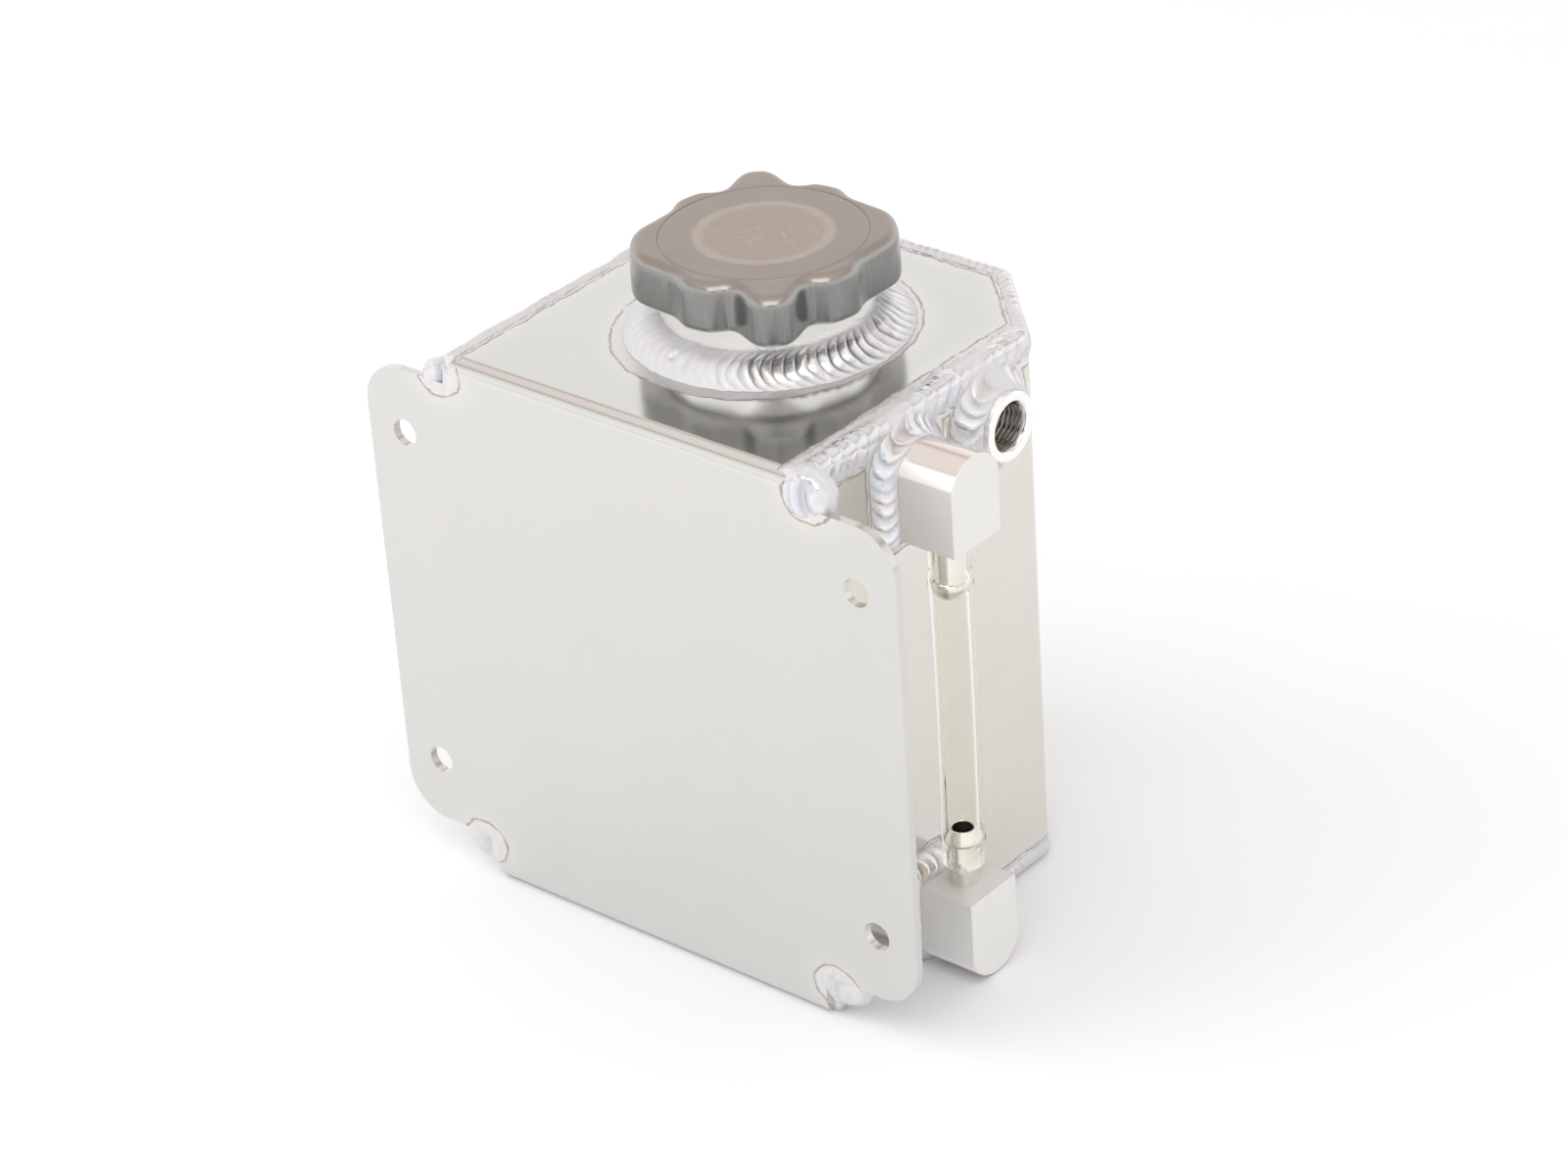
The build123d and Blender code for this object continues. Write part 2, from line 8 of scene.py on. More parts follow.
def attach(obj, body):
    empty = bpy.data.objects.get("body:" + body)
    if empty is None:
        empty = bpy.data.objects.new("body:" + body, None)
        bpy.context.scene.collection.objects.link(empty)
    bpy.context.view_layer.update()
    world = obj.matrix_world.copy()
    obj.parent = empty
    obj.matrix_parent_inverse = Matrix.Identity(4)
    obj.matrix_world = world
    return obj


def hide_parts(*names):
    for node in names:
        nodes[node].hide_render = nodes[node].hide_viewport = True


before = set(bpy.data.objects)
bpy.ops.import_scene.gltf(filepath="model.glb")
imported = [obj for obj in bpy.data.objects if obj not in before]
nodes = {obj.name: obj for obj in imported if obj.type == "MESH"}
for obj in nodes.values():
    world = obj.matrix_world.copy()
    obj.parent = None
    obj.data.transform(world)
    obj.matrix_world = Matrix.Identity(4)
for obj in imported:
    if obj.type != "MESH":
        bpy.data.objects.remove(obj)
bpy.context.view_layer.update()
scene = bpy.context.scene
MM = 0.001

# Sizes of the tank in millimetres, as in the CAD source
HALF_WIDTH = 60.2
DEPTH = 119.5
CUT = 26.0
SHEET = 2.3
TOP_Z = 77.6
BOTTOM_Z = -82.8
EAR_HALF_Z = 69.85
NECK_Y = 61.5
NECK_R = 28.5
NECK_BORE_R = 23.0
THREAD_R = 25.7
SHOULDER_Z = 90.0
RIM_Z = 99.6
BLOCK_HALF = 9.525
BLOCK_Y = 40.9
BLOCK_HEIGHT = 25.4
BLOCK_LENGTH = 22.2
BLOCK_ARCH = 6.4
UPPER_BLOCK_Z = 46.8
LOWER_BLOCK_Z = -57.0
BARB_X = 72.9
BUNG_R = 9.525
BUNG_BORE_R = 6.2
BUNG_REACH = 8.0
VENT = (74.6, 61.0)
FEED = (60.0, -62.0)
CAP_BOTTOM = 90.6
CAP_TOP = 103.8
CAP_BASE_R = 31.6
CAP_WING_ANGLE = -47.5
CAP_WING_RISE = 8.3
CAP_WING_SPREAD = 12.0
CAP_SIDE_RISE = 3.4
CAP_SIDE_SPREAD = 22.0
CAP_BARREL_RISE = 1.7
CAP_BARREL_ANGLE = 35.0
CAP_BARREL_SPREAD = 11.0
CAP_FLUTE = 0.7
CAP_BORE_R = 26.2
CAP_ROOF = 100.6
DISC_R = 27.53
RECESS_R = 27.55
DISC_T = 1.2
THREAD_PITCH = 4.0
PORT_PITCH = 1.41
TUBE_IOR = 1.14
BARB_TIP = 16.8
BARB_ROOT = -8.0
BARB_BORE_R = 2.875
BEAD_FROM_TIP = 3.5
TUBE_LOW_Z = -50.8
TUBE_HIGH_Z = 46.5
CAP_EDGE = 3.0
CAP_FOOT = 0.8
RIVET_HOLE_R = 2.6

# Welds: where the side runs end, and how far the fillets reach
TOP_RUN = (0.8, 94.5)
BASE_RUN = (SHEET, 94.0)
TOP_CORNER = 2.6
BASE_UP = 5.7
FLANGE_HALF_Z = 68.4
FLANGE_LEG = 5.6
BLOCK_LEG = 5.2
BUNG_LEG = 6.2
NECK_START = (-3.6, NECK_Y - 34.2, TOP_Z + 4.2)
# the ink entry scales the painted shade in the ripple creases and the painted highlight on their rims
TOP_WELDS = {
    "right": {"over": (7.2, 6.2), "down": (7.6, 6.6), "proud": 0.5,
              "pitch": 4.8, "ripple": 0.2, "wander": 0.8, "painted_light": 0.2},
    "left": {"over": (3.4, 3.0), "down": (5.2, 5.0), "proud": 0.25,
             "pitch": 2.6, "ripple": 0.08, "wander": 0.3, "painted_light": 0.1}}


# Meshes

def new_object(name, verts, faces, body, stands_for=(), smooth=35.0):
    mesh = bpy.data.meshes.new(name)
    mesh.from_pydata([tuple(v) for v in np.asarray(verts, float) * MM], [], faces)
    mesh.validate()
    mesh.shade_smooth()
    mesh.set_sharp_from_angle(angle=math.radians(smooth))
    obj = bpy.data.objects.new(name, mesh)
    scene.collection.objects.link(obj)
    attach(obj, body)
    if stands_for:
        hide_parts(*stands_for)
    work = bmesh.new()
    work.from_mesh(mesh)
    bmesh.ops.recalc_face_normals(work, faces=work.faces)
    work.to_mesh(mesh)
    work.free()
    return obj


def grid_faces(rows, cols, close_rows, close_cols, first=0):
    # quads of a grid whose vertices are stored row by row
    faces = []
    for i in range(rows if close_rows else rows - 1):
        a = i * cols
        b = ((i + 1) % rows) * cols
        for j in range(cols if close_cols else cols - 1):
            k = (j + 1) % cols
            faces.append((first + a + j, first + b + j, first + b + k, first + a + k))
    return faces


def turned_mesh(profile, centre, axis, segments, wobble=None):
    # profile rows of (radius, height); wobble(angle, height) gives a change of radius
    profile = np.array(profile, float)
    angles = np.linspace(0, 2 * math.pi, segments, endpoint=False)
    radius = np.repeat(profile[None, :, 0], segments, axis=0)
    height = np.repeat(profile[None, :, 1], segments, axis=0)
    if wobble is not None:
        radius = radius + wobble(angles[:, None], height)
    u = radius * np.cos(angles)[:, None]
    v = radius * np.sin(angles)[:, None]
    if axis == "z":
        points = np.stack([centre[0] + u, centre[1] + v, height], axis=-1)
    else:
        points = np.stack([height, centre[0] + u, centre[1] + v], axis=-1)
    faces = grid_faces(segments, len(profile), True, True)
    return points.reshape(-1, 3), faces


def thread_part(height, angle, pitch, shift=0.0):
    # place within one turn of a thread, from 0 to 1
    turn = (height - pitch * angle / (2 * math.pi)) / pitch + shift
    return turn - np.floor(turn)


def thread_ridge(part):
    return np.clip(1.9 - np.abs(part - 0.5) * 6.4, 0, 1)


def unit(vectors):
    return vectors / np.maximum(np.linalg.norm(vectors, axis=-1, keepdims=True), 1e-9)


def fine(profile, step):
    # adds points so that no profile edge is longer than step
    out = []
    for i, point in enumerate(profile):
        after = profile[(i + 1) % len(profile)]
        length = math.dist(point, after)
        count = max(1, int(length / step))
        for k in range(count):
            f = k / count
            out.append((point[0] + (after[0] - point[0]) * f, point[1] + (after[1] - point[1]) * f))
    return out


def rounded(profile, radius, steps=4):
    # rounds every corner of a closed profile by a small radius
    out = []
    count = len(profile)
    for i in range(count):
        p = np.array(profile[i], float)
        before = np.array(profile[i - 1], float)
        after = np.array(profile[(i + 1) % count], float)
        a = before - p
        b = after - p
        la = np.linalg.norm(a)
        lb = np.linalg.norm(b)
        cut = min(radius, la * 0.4, lb * 0.4)
        start = p + a / la * cut
        end = p + b / lb * cut
        for k in range(steps + 1):
            t = k / steps
            out.append(tuple((1 - t) ** 2 * start + 2 * t * (1 - t) * p + t * t * end))
    return out


def smooth_noise(points, scale, seed):
    offset = Vector((seed * 13.7, seed * 7.3, seed * 3.1))
    values = [noise.noise(Vector(p) * scale + offset) for p in points.reshape(-1, 3)]
    return np.array(values).reshape(points.shape[:-1])


def two_noises(points, scales, seeds, amount):
    coarse = smooth_noise(points, scales[0], seeds[0])
    return coarse * amount + smooth_noise(points, scales[1], seeds[1]) * amount * 0.5


def smooth_run(points, window, closed):
    if window < 2:
        return points
    kernel = np.hanning(window + 2)[1:-1]
    kernel = kernel / kernel.sum()
    half = window // 2
    if closed:
        padded = np.concatenate([points[-half:], points, points[:half]])
    else:
        head = 2 * points[0] - points[1:half + 1][::-1]
        tail = 2 * points[-1] - points[-half - 1:-1][::-1]
        padded = np.concatenate([head, points, tail])
    out = np.stack([np.convolve(padded[:, k], kernel, "valid") for k in range(points.shape[1])], axis=1)
    return out[:len(points)]


def scale_shape(part):
    # one overlapping scale: a long rise, then a short rounded fall into the next crease
    rise = np.sin(np.clip(part / 0.78, 0, 1) * math.pi / 2)
    fall = np.cos(np.clip((part - 0.78) / 0.22, 0, 1) * math.pi / 2)
    return np.where(part < 0.78, rise, fall)


def bead(name, toe_a, middle, toe_b, corner, body="tank", closed=False, pitch=2.3, ripple=0.16,
         bow=0.9, seed=1, across=20, taper=2.5, wander=0.25, rough=0.12, floor_z=None, vigour=None,
         painted_light=0.35, start=None, stands_for=()):
    """A run of weld: rows of stations, each a crowned section from toe_a over middle to toe_b."""
    toe_a, middle, toe_b, corner = [np.array(p, float) for p in (toe_a, middle, toe_b, corner)]
    count = len(toe_a)
    step = np.linalg.norm(np.roll(middle, -1, axis=0) - middle, axis=1)
    if not closed:
        step[-1] = 0
    length = step.sum()
    travel = np.concatenate([[0], np.cumsum(step)[:-1]])
    tangent = np.roll(middle, -1, axis=0) - np.roll(middle, 1, axis=0)
    if not closed:
        tangent[0] = middle[1] - middle[0]
        tangent[-1] = middle[-1] - middle[-2]
    tangent = unit(tangent)
    # slow changes of size along the run
    fullness = two_noises(middle, (0.11, 0.4), (seed, seed + 5), rough)
    lean_a = two_noises(toe_a, (0.3, 0.9), (seed + 1, seed + 2), wander)
    lean_b = two_noises(toe_b, (0.3, 0.9), (seed + 3, seed + 4), wander)
    out_a = unit(toe_a - corner)
    out_b = unit(toe_b - corner)
    toe_a = toe_a + out_a * lean_a[:, None]
    toe_b = toe_b + out_b * lean_b[:, None]
    middle = middle + (middle - corner) * (fullness * 0.35)[:, None]
    handle = 2 * middle - (toe_a + toe_b) / 2
    t = np.linspace(0, 1, across)
    rows = (
        toe_a[:, None, :] * ((1 - t) ** 2)[None, :, None]
        + handle[:, None, :] * (2 * t * (1 - t))[None, :, None]
        + toe_b[:, None, :] * (t ** 2)[None, :, None]
    )
    slope = 2 * (1 - t)[None, :, None] * (handle - toe_a)[:, None, :]
    slope = slope + 2 * t[None, :, None] * (toe_b - handle)[:, None, :]
    normal = unit(np.cross(slope, np.repeat(tangent[:, None, :], across, axis=1)))
    away = rows - corner[:, None, :]
    sign = np.sign((normal * away).sum(axis=2))[:, :, None]
    normal = normal * sign
    # crescent ripples: a sharp crease, then a soft convex step up to the next one
    u = 2 * t - 1
    turns = max(1, round(length / pitch))
    base = travel / length * turns
    base = base + smooth_noise(middle, 0.23, seed + 8) * 0.35 * (0 if closed else 1)
    if closed:
        base = base + np.sin(travel / length * 2 * math.pi * 3 + seed) * 0.25
    phase = base[:, None] - bow * np.sqrt(1 - 0.9 * u[None, :] ** 2)
    phase = phase + smooth_noise(rows, 0.22, seed + 9) * 0.2
    index = np.floor(phase)
    part = phase - index
    rng = np.random.default_rng(seed)
    strength = rng.uniform(0.35, 1.3, 4096)[(index.astype(int) + 50) % 4096]
    patch = np.clip(0.85 + smooth_noise(middle, 0.09, seed + 21) * 1.5, 0.15, 1.6)
    if vigour is not None:
        patch = vigour(middle) * (0.75 + 0.25 * patch)
    strength = strength * patch[:, None]
    shape = scale_shape(part)
    edge = (1 - np.abs(u) ** 3)[None, :] * 0.95 + 0.05
    height = ripple * strength * shape * edge
    grain = smooth_noise(rows, 1.6, seed + 11) * 0.012
    if start is not None:
        near = np.linalg.norm(rows - np.array(start, float), axis=2)
        height = height + 0.8 * np.exp(-(near / 2.8) ** 2) - 1.1 * np.exp(-(near / 1.4) ** 2)
    rows = rows + normal * (height + grain * edge)[:, :, None]
    toe_push = shape * np.clip(strength, 0, 1.2) * 0.2
    rows[:, 0] += out_a * toe_push[:, 0][:, None]
    rows[:, -1] += out_b * toe_push[:, -1][:, None]
    ring = np.concatenate([rows, corner[:, None, :]], axis=1)
    if not closed and taper > 0:
        near = np.minimum(travel, length - travel) / taper
        near = np.clip(near, 0, 1)
        keep = np.sqrt(np.clip(1 - (1 - near) ** 2, 0.0025, 1))[:, None, None]
        ring = corner[:, None, :] + (ring - corner[:, None, :]) * keep
    if floor_z is not None:
        ring[:, :, 2] = np.maximum(ring[:, :, 2], floor_z)
    cols = across + 1
    faces = grid_faces(count, cols, closed, True)
    if not closed:
        faces.append(tuple(range(cols)))
        faces.append(tuple((count - 1) * cols + k for k in range(cols))[::-1])
    obj = new_object(name, ring.reshape(-1, 3), faces, body, stands_for, smooth=180)
    # painted shade in the creases between ripples, a dark bluish painted reflection
    dark = np.clip(1.2 - shape * 1.7, 0, 1) * np.clip(strength, 0, 1) * (1 - np.abs(u) ** 6) * painted_light
    near_toe = np.repeat((np.abs(u) ** 2.5)[None, :], count, axis=0)
    calm = np.repeat(np.clip(1.15 - patch, 0, 1), cols)
    # painted highlight on the rise of each ripple
    rim = painted_highlight_shape(part) * np.clip(strength, 0, 1) * edge * painted_light
    paint(obj, with_corner(dark, 0), with_corner(near_toe, 1), calm, with_corner(rim, 0))
    return obj


def painted_highlight_shape(part):
    # painted highlight along the rise of each ripple
    return np.exp(-((part - 0.66) / 0.13) ** 2)


def with_corner(values, at_corner):
    # each row of a section, followed by the value at its hidden corner
    return np.hstack([values, np.full((len(values), 1), at_corner)]).reshape(-1)


def paint(obj, painted_shade, near_toe, calm, rim):
    # channels: painted shade in the creases between ripples, nearness to the weld's edge, how smooth the run
    # is, painted highlight on the rims
    layer = obj.data.color_attributes.new("run", "FLOAT_COLOR", "POINT")
    values = np.ones((len(obj.data.vertices), 4))
    for channel, painted in enumerate((painted_shade, near_toe, calm, rim)):
        values[:, channel] = np.clip(painted, 0, 1)
    layer.data.foreach_set("color", values.reshape(-1))


def straight(start, end, step=0.22):
    length = math.dist(start, end)
    count = max(3, int(length / step))
    t = np.linspace(0, 1, count)[:, None]
    return np.array(start, float)[None, :] * (1 - t) + np.array(end, float)[None, :] * t


def side_run(ys, xs, zs):
    # a line along one side of the tank, from front to back
    return straight((xs[0], ys[0], zs[0]), (xs[1], ys[1], zs[1]))


def upright(x, y):
    return straight((x, y, -FLANGE_HALF_Z), (x, y, FLANGE_HALF_Z))


def shift_plan(inset):
    # corners of the tank's plan moved inward, from the right wall round the back to the left wall
    k = inset * math.tan(math.radians(22.5))
    x = HALF_WIDTH - inset
    y = DEPTH - inset
    side_y = DEPTH - CUT - k
    back_x = HALF_WIDTH - CUT - k
    return [(x, side_y), (back_x, y), (-back_x, y), (-x, side_y)]


def rear_line(inset, z, step=0.22):
    corners = shift_plan(inset)
    outer = shift_plan(0)
    parts = []
    for i in range(3):
        count = int(math.dist(outer[i], outer[i + 1]) / step)
        t = np.linspace(0, 1, count, endpoint=(i == 2))[:, None]
        a = np.array(corners[i])[None, :]
        b = np.array(corners[i + 1])[None, :]
        parts.append(a * (1 - t) + b * t)
    plan = np.concatenate(parts)
    plan = smooth_run(plan, 21, False)
    return np.concatenate([plan, np.full((len(plan), 1), float(z))], axis=1)


def arch_points(face_z, up, count):
    # points on a sight block's arched end, between the two where it springs from the sides
    radius = (BLOCK_HALF ** 2 + BLOCK_ARCH ** 2) / (2 * BLOCK_ARCH)
    centre_z = face_z + up * (BLOCK_HEIGHT - radius)
    half = math.asin(BLOCK_HALF / radius)
    turns = [half - 2 * half * k / count for k in range(1, count)]
    return [(radius * math.sin(a), centre_z + up * radius * math.cos(a)) for a in turns]


def block_outline(face_z, up, offset, x, step=0.25):
    # outline of a sight block seen along X, with rounded corners, moved outward by offset
    spring = face_z + up * (BLOCK_HEIGHT - BLOCK_ARCH)
    loop = [(BLOCK_HALF, face_z), (BLOCK_HALF, spring)]
    loop += arch_points(face_z, up, 24)
    loop += [(-BLOCK_HALF, spring), (-BLOCK_HALF, face_z)]
    dense = smooth_run(np.array(fine(loop, step)), 9, True)
    tangent = np.roll(dense, -3, axis=0) - np.roll(dense, 3, axis=0)
    tangent = unit(tangent)
    normal = np.stack([tangent[:, 1], -tangent[:, 0]], axis=1)
    if up < 0:
        normal = -normal
    normal = smooth_run(normal, 25, True)
    normal = unit(normal)
    moved = dense + normal * offset
    return np.stack([np.full(len(moved), float(x)), BLOCK_Y + moved[:, 0], moved[:, 1]], axis=1)


def circle_x(radius, centre, x, count):
    a = np.linspace(0, 2 * math.pi, count, endpoint=False)
    full = np.full(count, float(x))
    return np.stack([full, centre[0] + radius * np.cos(a), centre[1] + radius * np.sin(a)], axis=1)


def circle_z(radius, z, count):
    a = np.linspace(0, 2 * math.pi, count, endpoint=False)
    return np.stack([radius * np.cos(a), NECK_Y + radius * np.sin(a), np.full(count, float(z))], axis=1)


def neck_vigour(middle):
    # boldest towards the front and right, calm on the left and behind
    turn = np.degrees(np.arctan2(middle[:, 1] - NECK_Y, middle[:, 0]))
    bold = swell((turn + 29 + 180) % 360 - 180, 0, 36, 4)
    side = swell((turn - 25 + 180) % 360 - 180, 0, 30, 4)
    return 0.16 + 1.05 * bold + 0.45 * side * (1 - bold)


def make_welds():
    made = {}
    made["neck_weld"] = bead(
        "neck_bead", circle_z(NECK_R + 10.0, TOP_Z, 1000), circle_z(NECK_R + 5.5, TOP_Z + 4.3, 1000),
        circle_z(NECK_R - 0.05, TOP_Z + 6.4, 1000), circle_z(NECK_R - 0.05, TOP_Z - 0.1, 1000),
        closed=True, pitch=3.1, ripple=0.55, bow=-2.3, seed=3, across=34, wander=0.45, rough=0.16,
        vigour=neck_vigour, painted_light=1.0, start=NECK_START, stands_for=["neck_weld"])
    for side, word in ((1, "right"), (-1, "left")):
        x = side * HALF_WIDTH
        sheet_x = x - side * SHEET
        top = TOP_WELDS[word]
        made["top_" + word] = bead(
            "top_" + word + "_bead",
            side_run(TOP_RUN, [x - side * over for over in top["over"]], (TOP_Z, TOP_Z)),
            side_run(TOP_RUN, (x - side * 0.2, x - side * 0.2), (TOP_Z + top["proud"], TOP_Z + 0.3)),
            side_run(TOP_RUN, (x, x), [TOP_Z - down for down in top["down"]]),
            side_run(TOP_RUN, [x - side * TOP_CORNER] * 2, [TOP_Z - TOP_CORNER] * 2),
            pitch=top["pitch"], ripple=top["ripple"], bow=1.5, seed=11 + side, across=34,
            wander=top["wander"], painted_light=top["painted_light"], rough=0.3, taper=1.2, stands_for=["top_" + word + "_weld"])
        base = [(sheet_x, 0), (x + side * 0.2, 2.2), (x, BASE_UP), (sheet_x, SHEET)]
        made["bottom_" + word] = bead(
            "bottom_" + word + "_bead",
            *[side_run(BASE_RUN, (at, at), [BOTTOM_Z + rise] * 2) for at, rise in base],
            pitch=2.6, ripple=0.2, seed=21 + side, floor_z=BOTTOM_Z, taper=1.0,
            stands_for=["bottom_" + word + "_weld"])
        fillet = [(FLANGE_LEG, 0), (3.0, 3.0), (0, FLANGE_LEG), (0, 0)]
        made["flange_" + word] = bead(
            word + "_flange_bead",
            *[upright(x + side * out, SHEET + back) for out, back in fillet],
            pitch=2.9, ripple=0.3, bow=1.0, seed=31 + side, across=22, stands_for=[word + "_flange_weld"])
    made["top_back"] = bead(
        "top_back_bead", rear_line(3.9, TOP_Z), rear_line(0.2, TOP_Z + 0.25), rear_line(0, TOP_Z - 4.2),
        rear_line(2.35, TOP_Z - 2.35), pitch=2.8, ripple=0.07, seed=41, across=22, wander=0.4,
        taper=1.0, stands_for=["top_back_weld"])
    made["bottom_back"] = bead(
        "bottom_back_bead", rear_line(2.3, BOTTOM_Z), rear_line(-0.2, BOTTOM_Z + 2.2),
        rear_line(0, BOTTOM_Z + 5.7), rear_line(2.3, BOTTOM_Z + 2.3), pitch=2.6, ripple=0.2, seed=43,
        floor_z=BOTTOM_Z, taper=1.0, stands_for=["bottom_back_weld"])
    for name, face_z, up, seed in (("upper", UPPER_BLOCK_Z, 1, 51), ("lower", LOWER_BLOCK_Z, -1, 53)):
        leg = BLOCK_LEG
        made[name + "_block"] = bead(
            name + "_block_bead", block_outline(face_z, up, leg, HALF_WIDTH),
            block_outline(face_z, up, leg * 0.5, HALF_WIDTH + leg * 0.5),
            block_outline(face_z, up, -0.05, HALF_WIDTH + leg),
            block_outline(face_z, up, -0.05, HALF_WIDTH - 0.1), closed=True, pitch=4.2, ripple=0.34,
            bow=1.5, seed=seed, across=24, wander=0.35, painted_light=0.55,
            floor_z=BOTTOM_Z, stands_for=[name + "_block_weld"])
    for name, centre, side, seed in (("vent", VENT, 1, 61), ("feed", FEED, -1, 63)):
        x = side * HALF_WIDTH
        leg = BUNG_LEG
        made[name] = bead(
            name + "_bung_bead", circle_x(BUNG_R + leg, centre, x, 380),
            circle_x(BUNG_R + leg * 0.52, centre, x + side * leg * 0.52, 380),
            circle_x(BUNG_R - 0.05, centre, x + side * leg, 380),
            circle_x(BUNG_R - 0.05, centre, x - side * 0.1, 380),
            closed=True, pitch=5.0, ripple=0.36, bow=1.5, seed=seed, across=24, wander=0.4, painted_light=0.6,
            stands_for=[name + "_bung_weld"])
    return made


def corner_lump(name, side, across, low, high, proud, pit, seed, stands_for):
    """Puddle of weld in the notch between an ear and the tank's bent edge, a little proud of the plate."""
    rows = 90
    cols = 120
    centre = np.array([side * across, 3.6, (low + high) / 2])
    reach = np.array([8.2, 4.6, (high - low) / 2])
    polar = np.pi * np.arange(1, rows)[:, None] / rows
    turn = 2 * np.pi * np.arange(cols)[None, :] / cols
    girth = np.sin(polar)
    way = np.stack([girth * np.cos(turn), girth * np.sin(turn), np.cos(polar) * np.ones_like(turn)], axis=-1)
    spots = centre + reach * way
    # outline pinched towards the corner above, rounder where it meets the plate
    lumpy = smooth_noise(spots, 0.16, seed) * 0.9
    lumpy = lumpy + smooth_noise(spots, 0.45, seed + 1) * 0.14
    spots = spots + way * lumpy[:, :, None]
    # distance over the face from the centre of the last crescent
    swirl_x = (spots[:, :, 0] - centre[0]) * side + pit[0]
    swirl_z = spots[:, :, 2] - centre[2] + pit[1]
    swirl = np.hypot(swirl_x * 1.15, swirl_z * 0.85)
    part = swirl / 3.4 + seed * 0.37
    part = part - np.floor(part)
    shape = scale_shape(part)
    ahead = np.clip((centre[1] - spots[:, :, 1]) / 4.5, 0, 1)
    dent = pit[2] * np.exp(-((swirl - 5.2) / 1.3) ** 2)
    out = np.maximum(0.0, 2.2 - spots[:, :, 1]) * 1.5
    spots[:, :, 1] = np.where(
        spots[:, :, 1] < 2.2, 2.2 - (2.2 + proud) * np.tanh(out / 2.6), spots[:, :, 1])
    spots[:, :, 1] += ahead * (dent - shape * (0.06 + 0.22 * proud) + 0.1)
    spots[:, :, 1] = np.maximum(spots[:, :, 1], -proud - 0.6)
    points = list(spots.reshape(-1, 3))
    faces = grid_faces(rows - 1, cols, False, True)
    top = len(points)
    points.append(spots[0].mean(axis=0) + np.array([0, 0, 0.05]))
    points.append(spots[-1].mean(axis=0) - np.array([0, 0, 0.05]))
    for j in range(cols):
        k = (j + 1) % cols
        faces.append((top, j, k))
        last = (rows - 2) * cols
        faces.append((top + 1, last + k, last + j))
    obj = new_object(name, points, faces, "tank", stands_for, smooth=180)
    # painted shade in the crescent creases and in the dent
    dark = ((np.clip(1.1 - shape * 1.7, 0, 1) * 0.25 * proud + dent * 0.6) * ahead).reshape(-1)
    rim = np.clip(1.1 - out / 2.2, 0, 1).reshape(-1) * 0.7
    # the last channel is a painted highlight on the rise of each crescent
    paint(obj, np.append(dark, [0, 0]), np.append(rim, [1, 1]), np.full(len(points), 0.15),
          np.append((painted_highlight_shape(part) * 0.4 * proud * ahead).reshape(-1), [0, 0]))
    return obj


def make_lumps():
    made = {}
    for name, side, across, low, high, proud, pit, seed in (
            ("upper_right", 1, 60.4, 65.8, 80.0, 1.0, (-5.5, -0.5, 0.9), 3.0),
            ("upper_left", -1, 61.0, 64.8, 75.8, 0.4, (-4.5, -2.5, 0.9), 5.0),
            ("lower_right", 1, 61.8, -79.4, -65.6, 0.4, (-3.5, 1.5, 0.4), 8.0),
            ("lower_left", -1, 61.8, -78.6, -66.6, 0.4, (-4.0, 0.0, 0.5), 6.0)):
        made[name] = corner_lump(
            name + "_lump", side, across, low, high, proud, pit, seed, [name + "_corner_weld"])
    return made


def make_neck():
    bore = NECK_BORE_R
    profile = rounded([
        (bore, TOP_Z - SHEET), (NECK_R, TOP_Z - SHEET), (NECK_R, SHOULDER_Z - 0.1),
        (NECK_R - 0.1, SHOULDER_Z),
        (THREAD_R - 0.9, SHOULDER_Z), (THREAD_R - 0.9, RIM_Z - 0.9), (THREAD_R - 1.8, RIM_Z),
        (bore + 0.7, RIM_Z), (bore, RIM_Z - 0.7)], 0.35)
    profile = fine(profile, 0.22)

    def thread(angle, height):
        inside = np.array([p[0] for p in profile])[None, :] > THREAD_R - 1.2
        level = (height - SHOULDER_Z) / (RIM_Z - SHOULDER_Z)
        on = inside * (level > 0.06) * (level < 0.93)
        ridge = thread_ridge(thread_part(height, angle, THREAD_PITCH))
        fade = np.clip((level - 0.06) * 8, 0, 1) * np.clip((0.93 - level) * 8, 0, 1)
        return on * ridge * fade

    verts, faces = turned_mesh(profile, (0, NECK_Y), "z", 240, thread)
    return new_object("neck", verts, faces, "tank", ["filler_neck"], smooth=40)


def make_bung(name, side, centre, stands_for):
    outer = HALF_WIDTH + BUNG_REACH
    low = HALF_WIDTH - SHEET
    outline = [
        (BUNG_R, low), (BUNG_R, outer - 0.35), (BUNG_R - 0.35, outer), (BUNG_BORE_R + 1.0, outer),
        (BUNG_BORE_R + 0.35, outer - 0.75), (BUNG_BORE_R, low)]
    profile = fine(rounded(outline, 0.25), 0.14)

    def thread(angle, height):
        radius = np.array([p[0] for p in profile])[None, :]
        inside = radius < BUNG_BORE_R + 0.5
        groove = 1 - np.abs(thread_part(np.abs(height), angle, PORT_PITCH) - 0.5) * 2
        fade = np.clip((outer - 0.5 - np.abs(height)) * 2, 0, 1)
        return inside * fade * groove * 0.72

    placed = [(r, side * h) for r, h in profile]
    verts, faces = turned_mesh(placed, centre, "x", 200, thread)
    return new_object(name, verts, faces, "tank", stands_for, smooth=38)


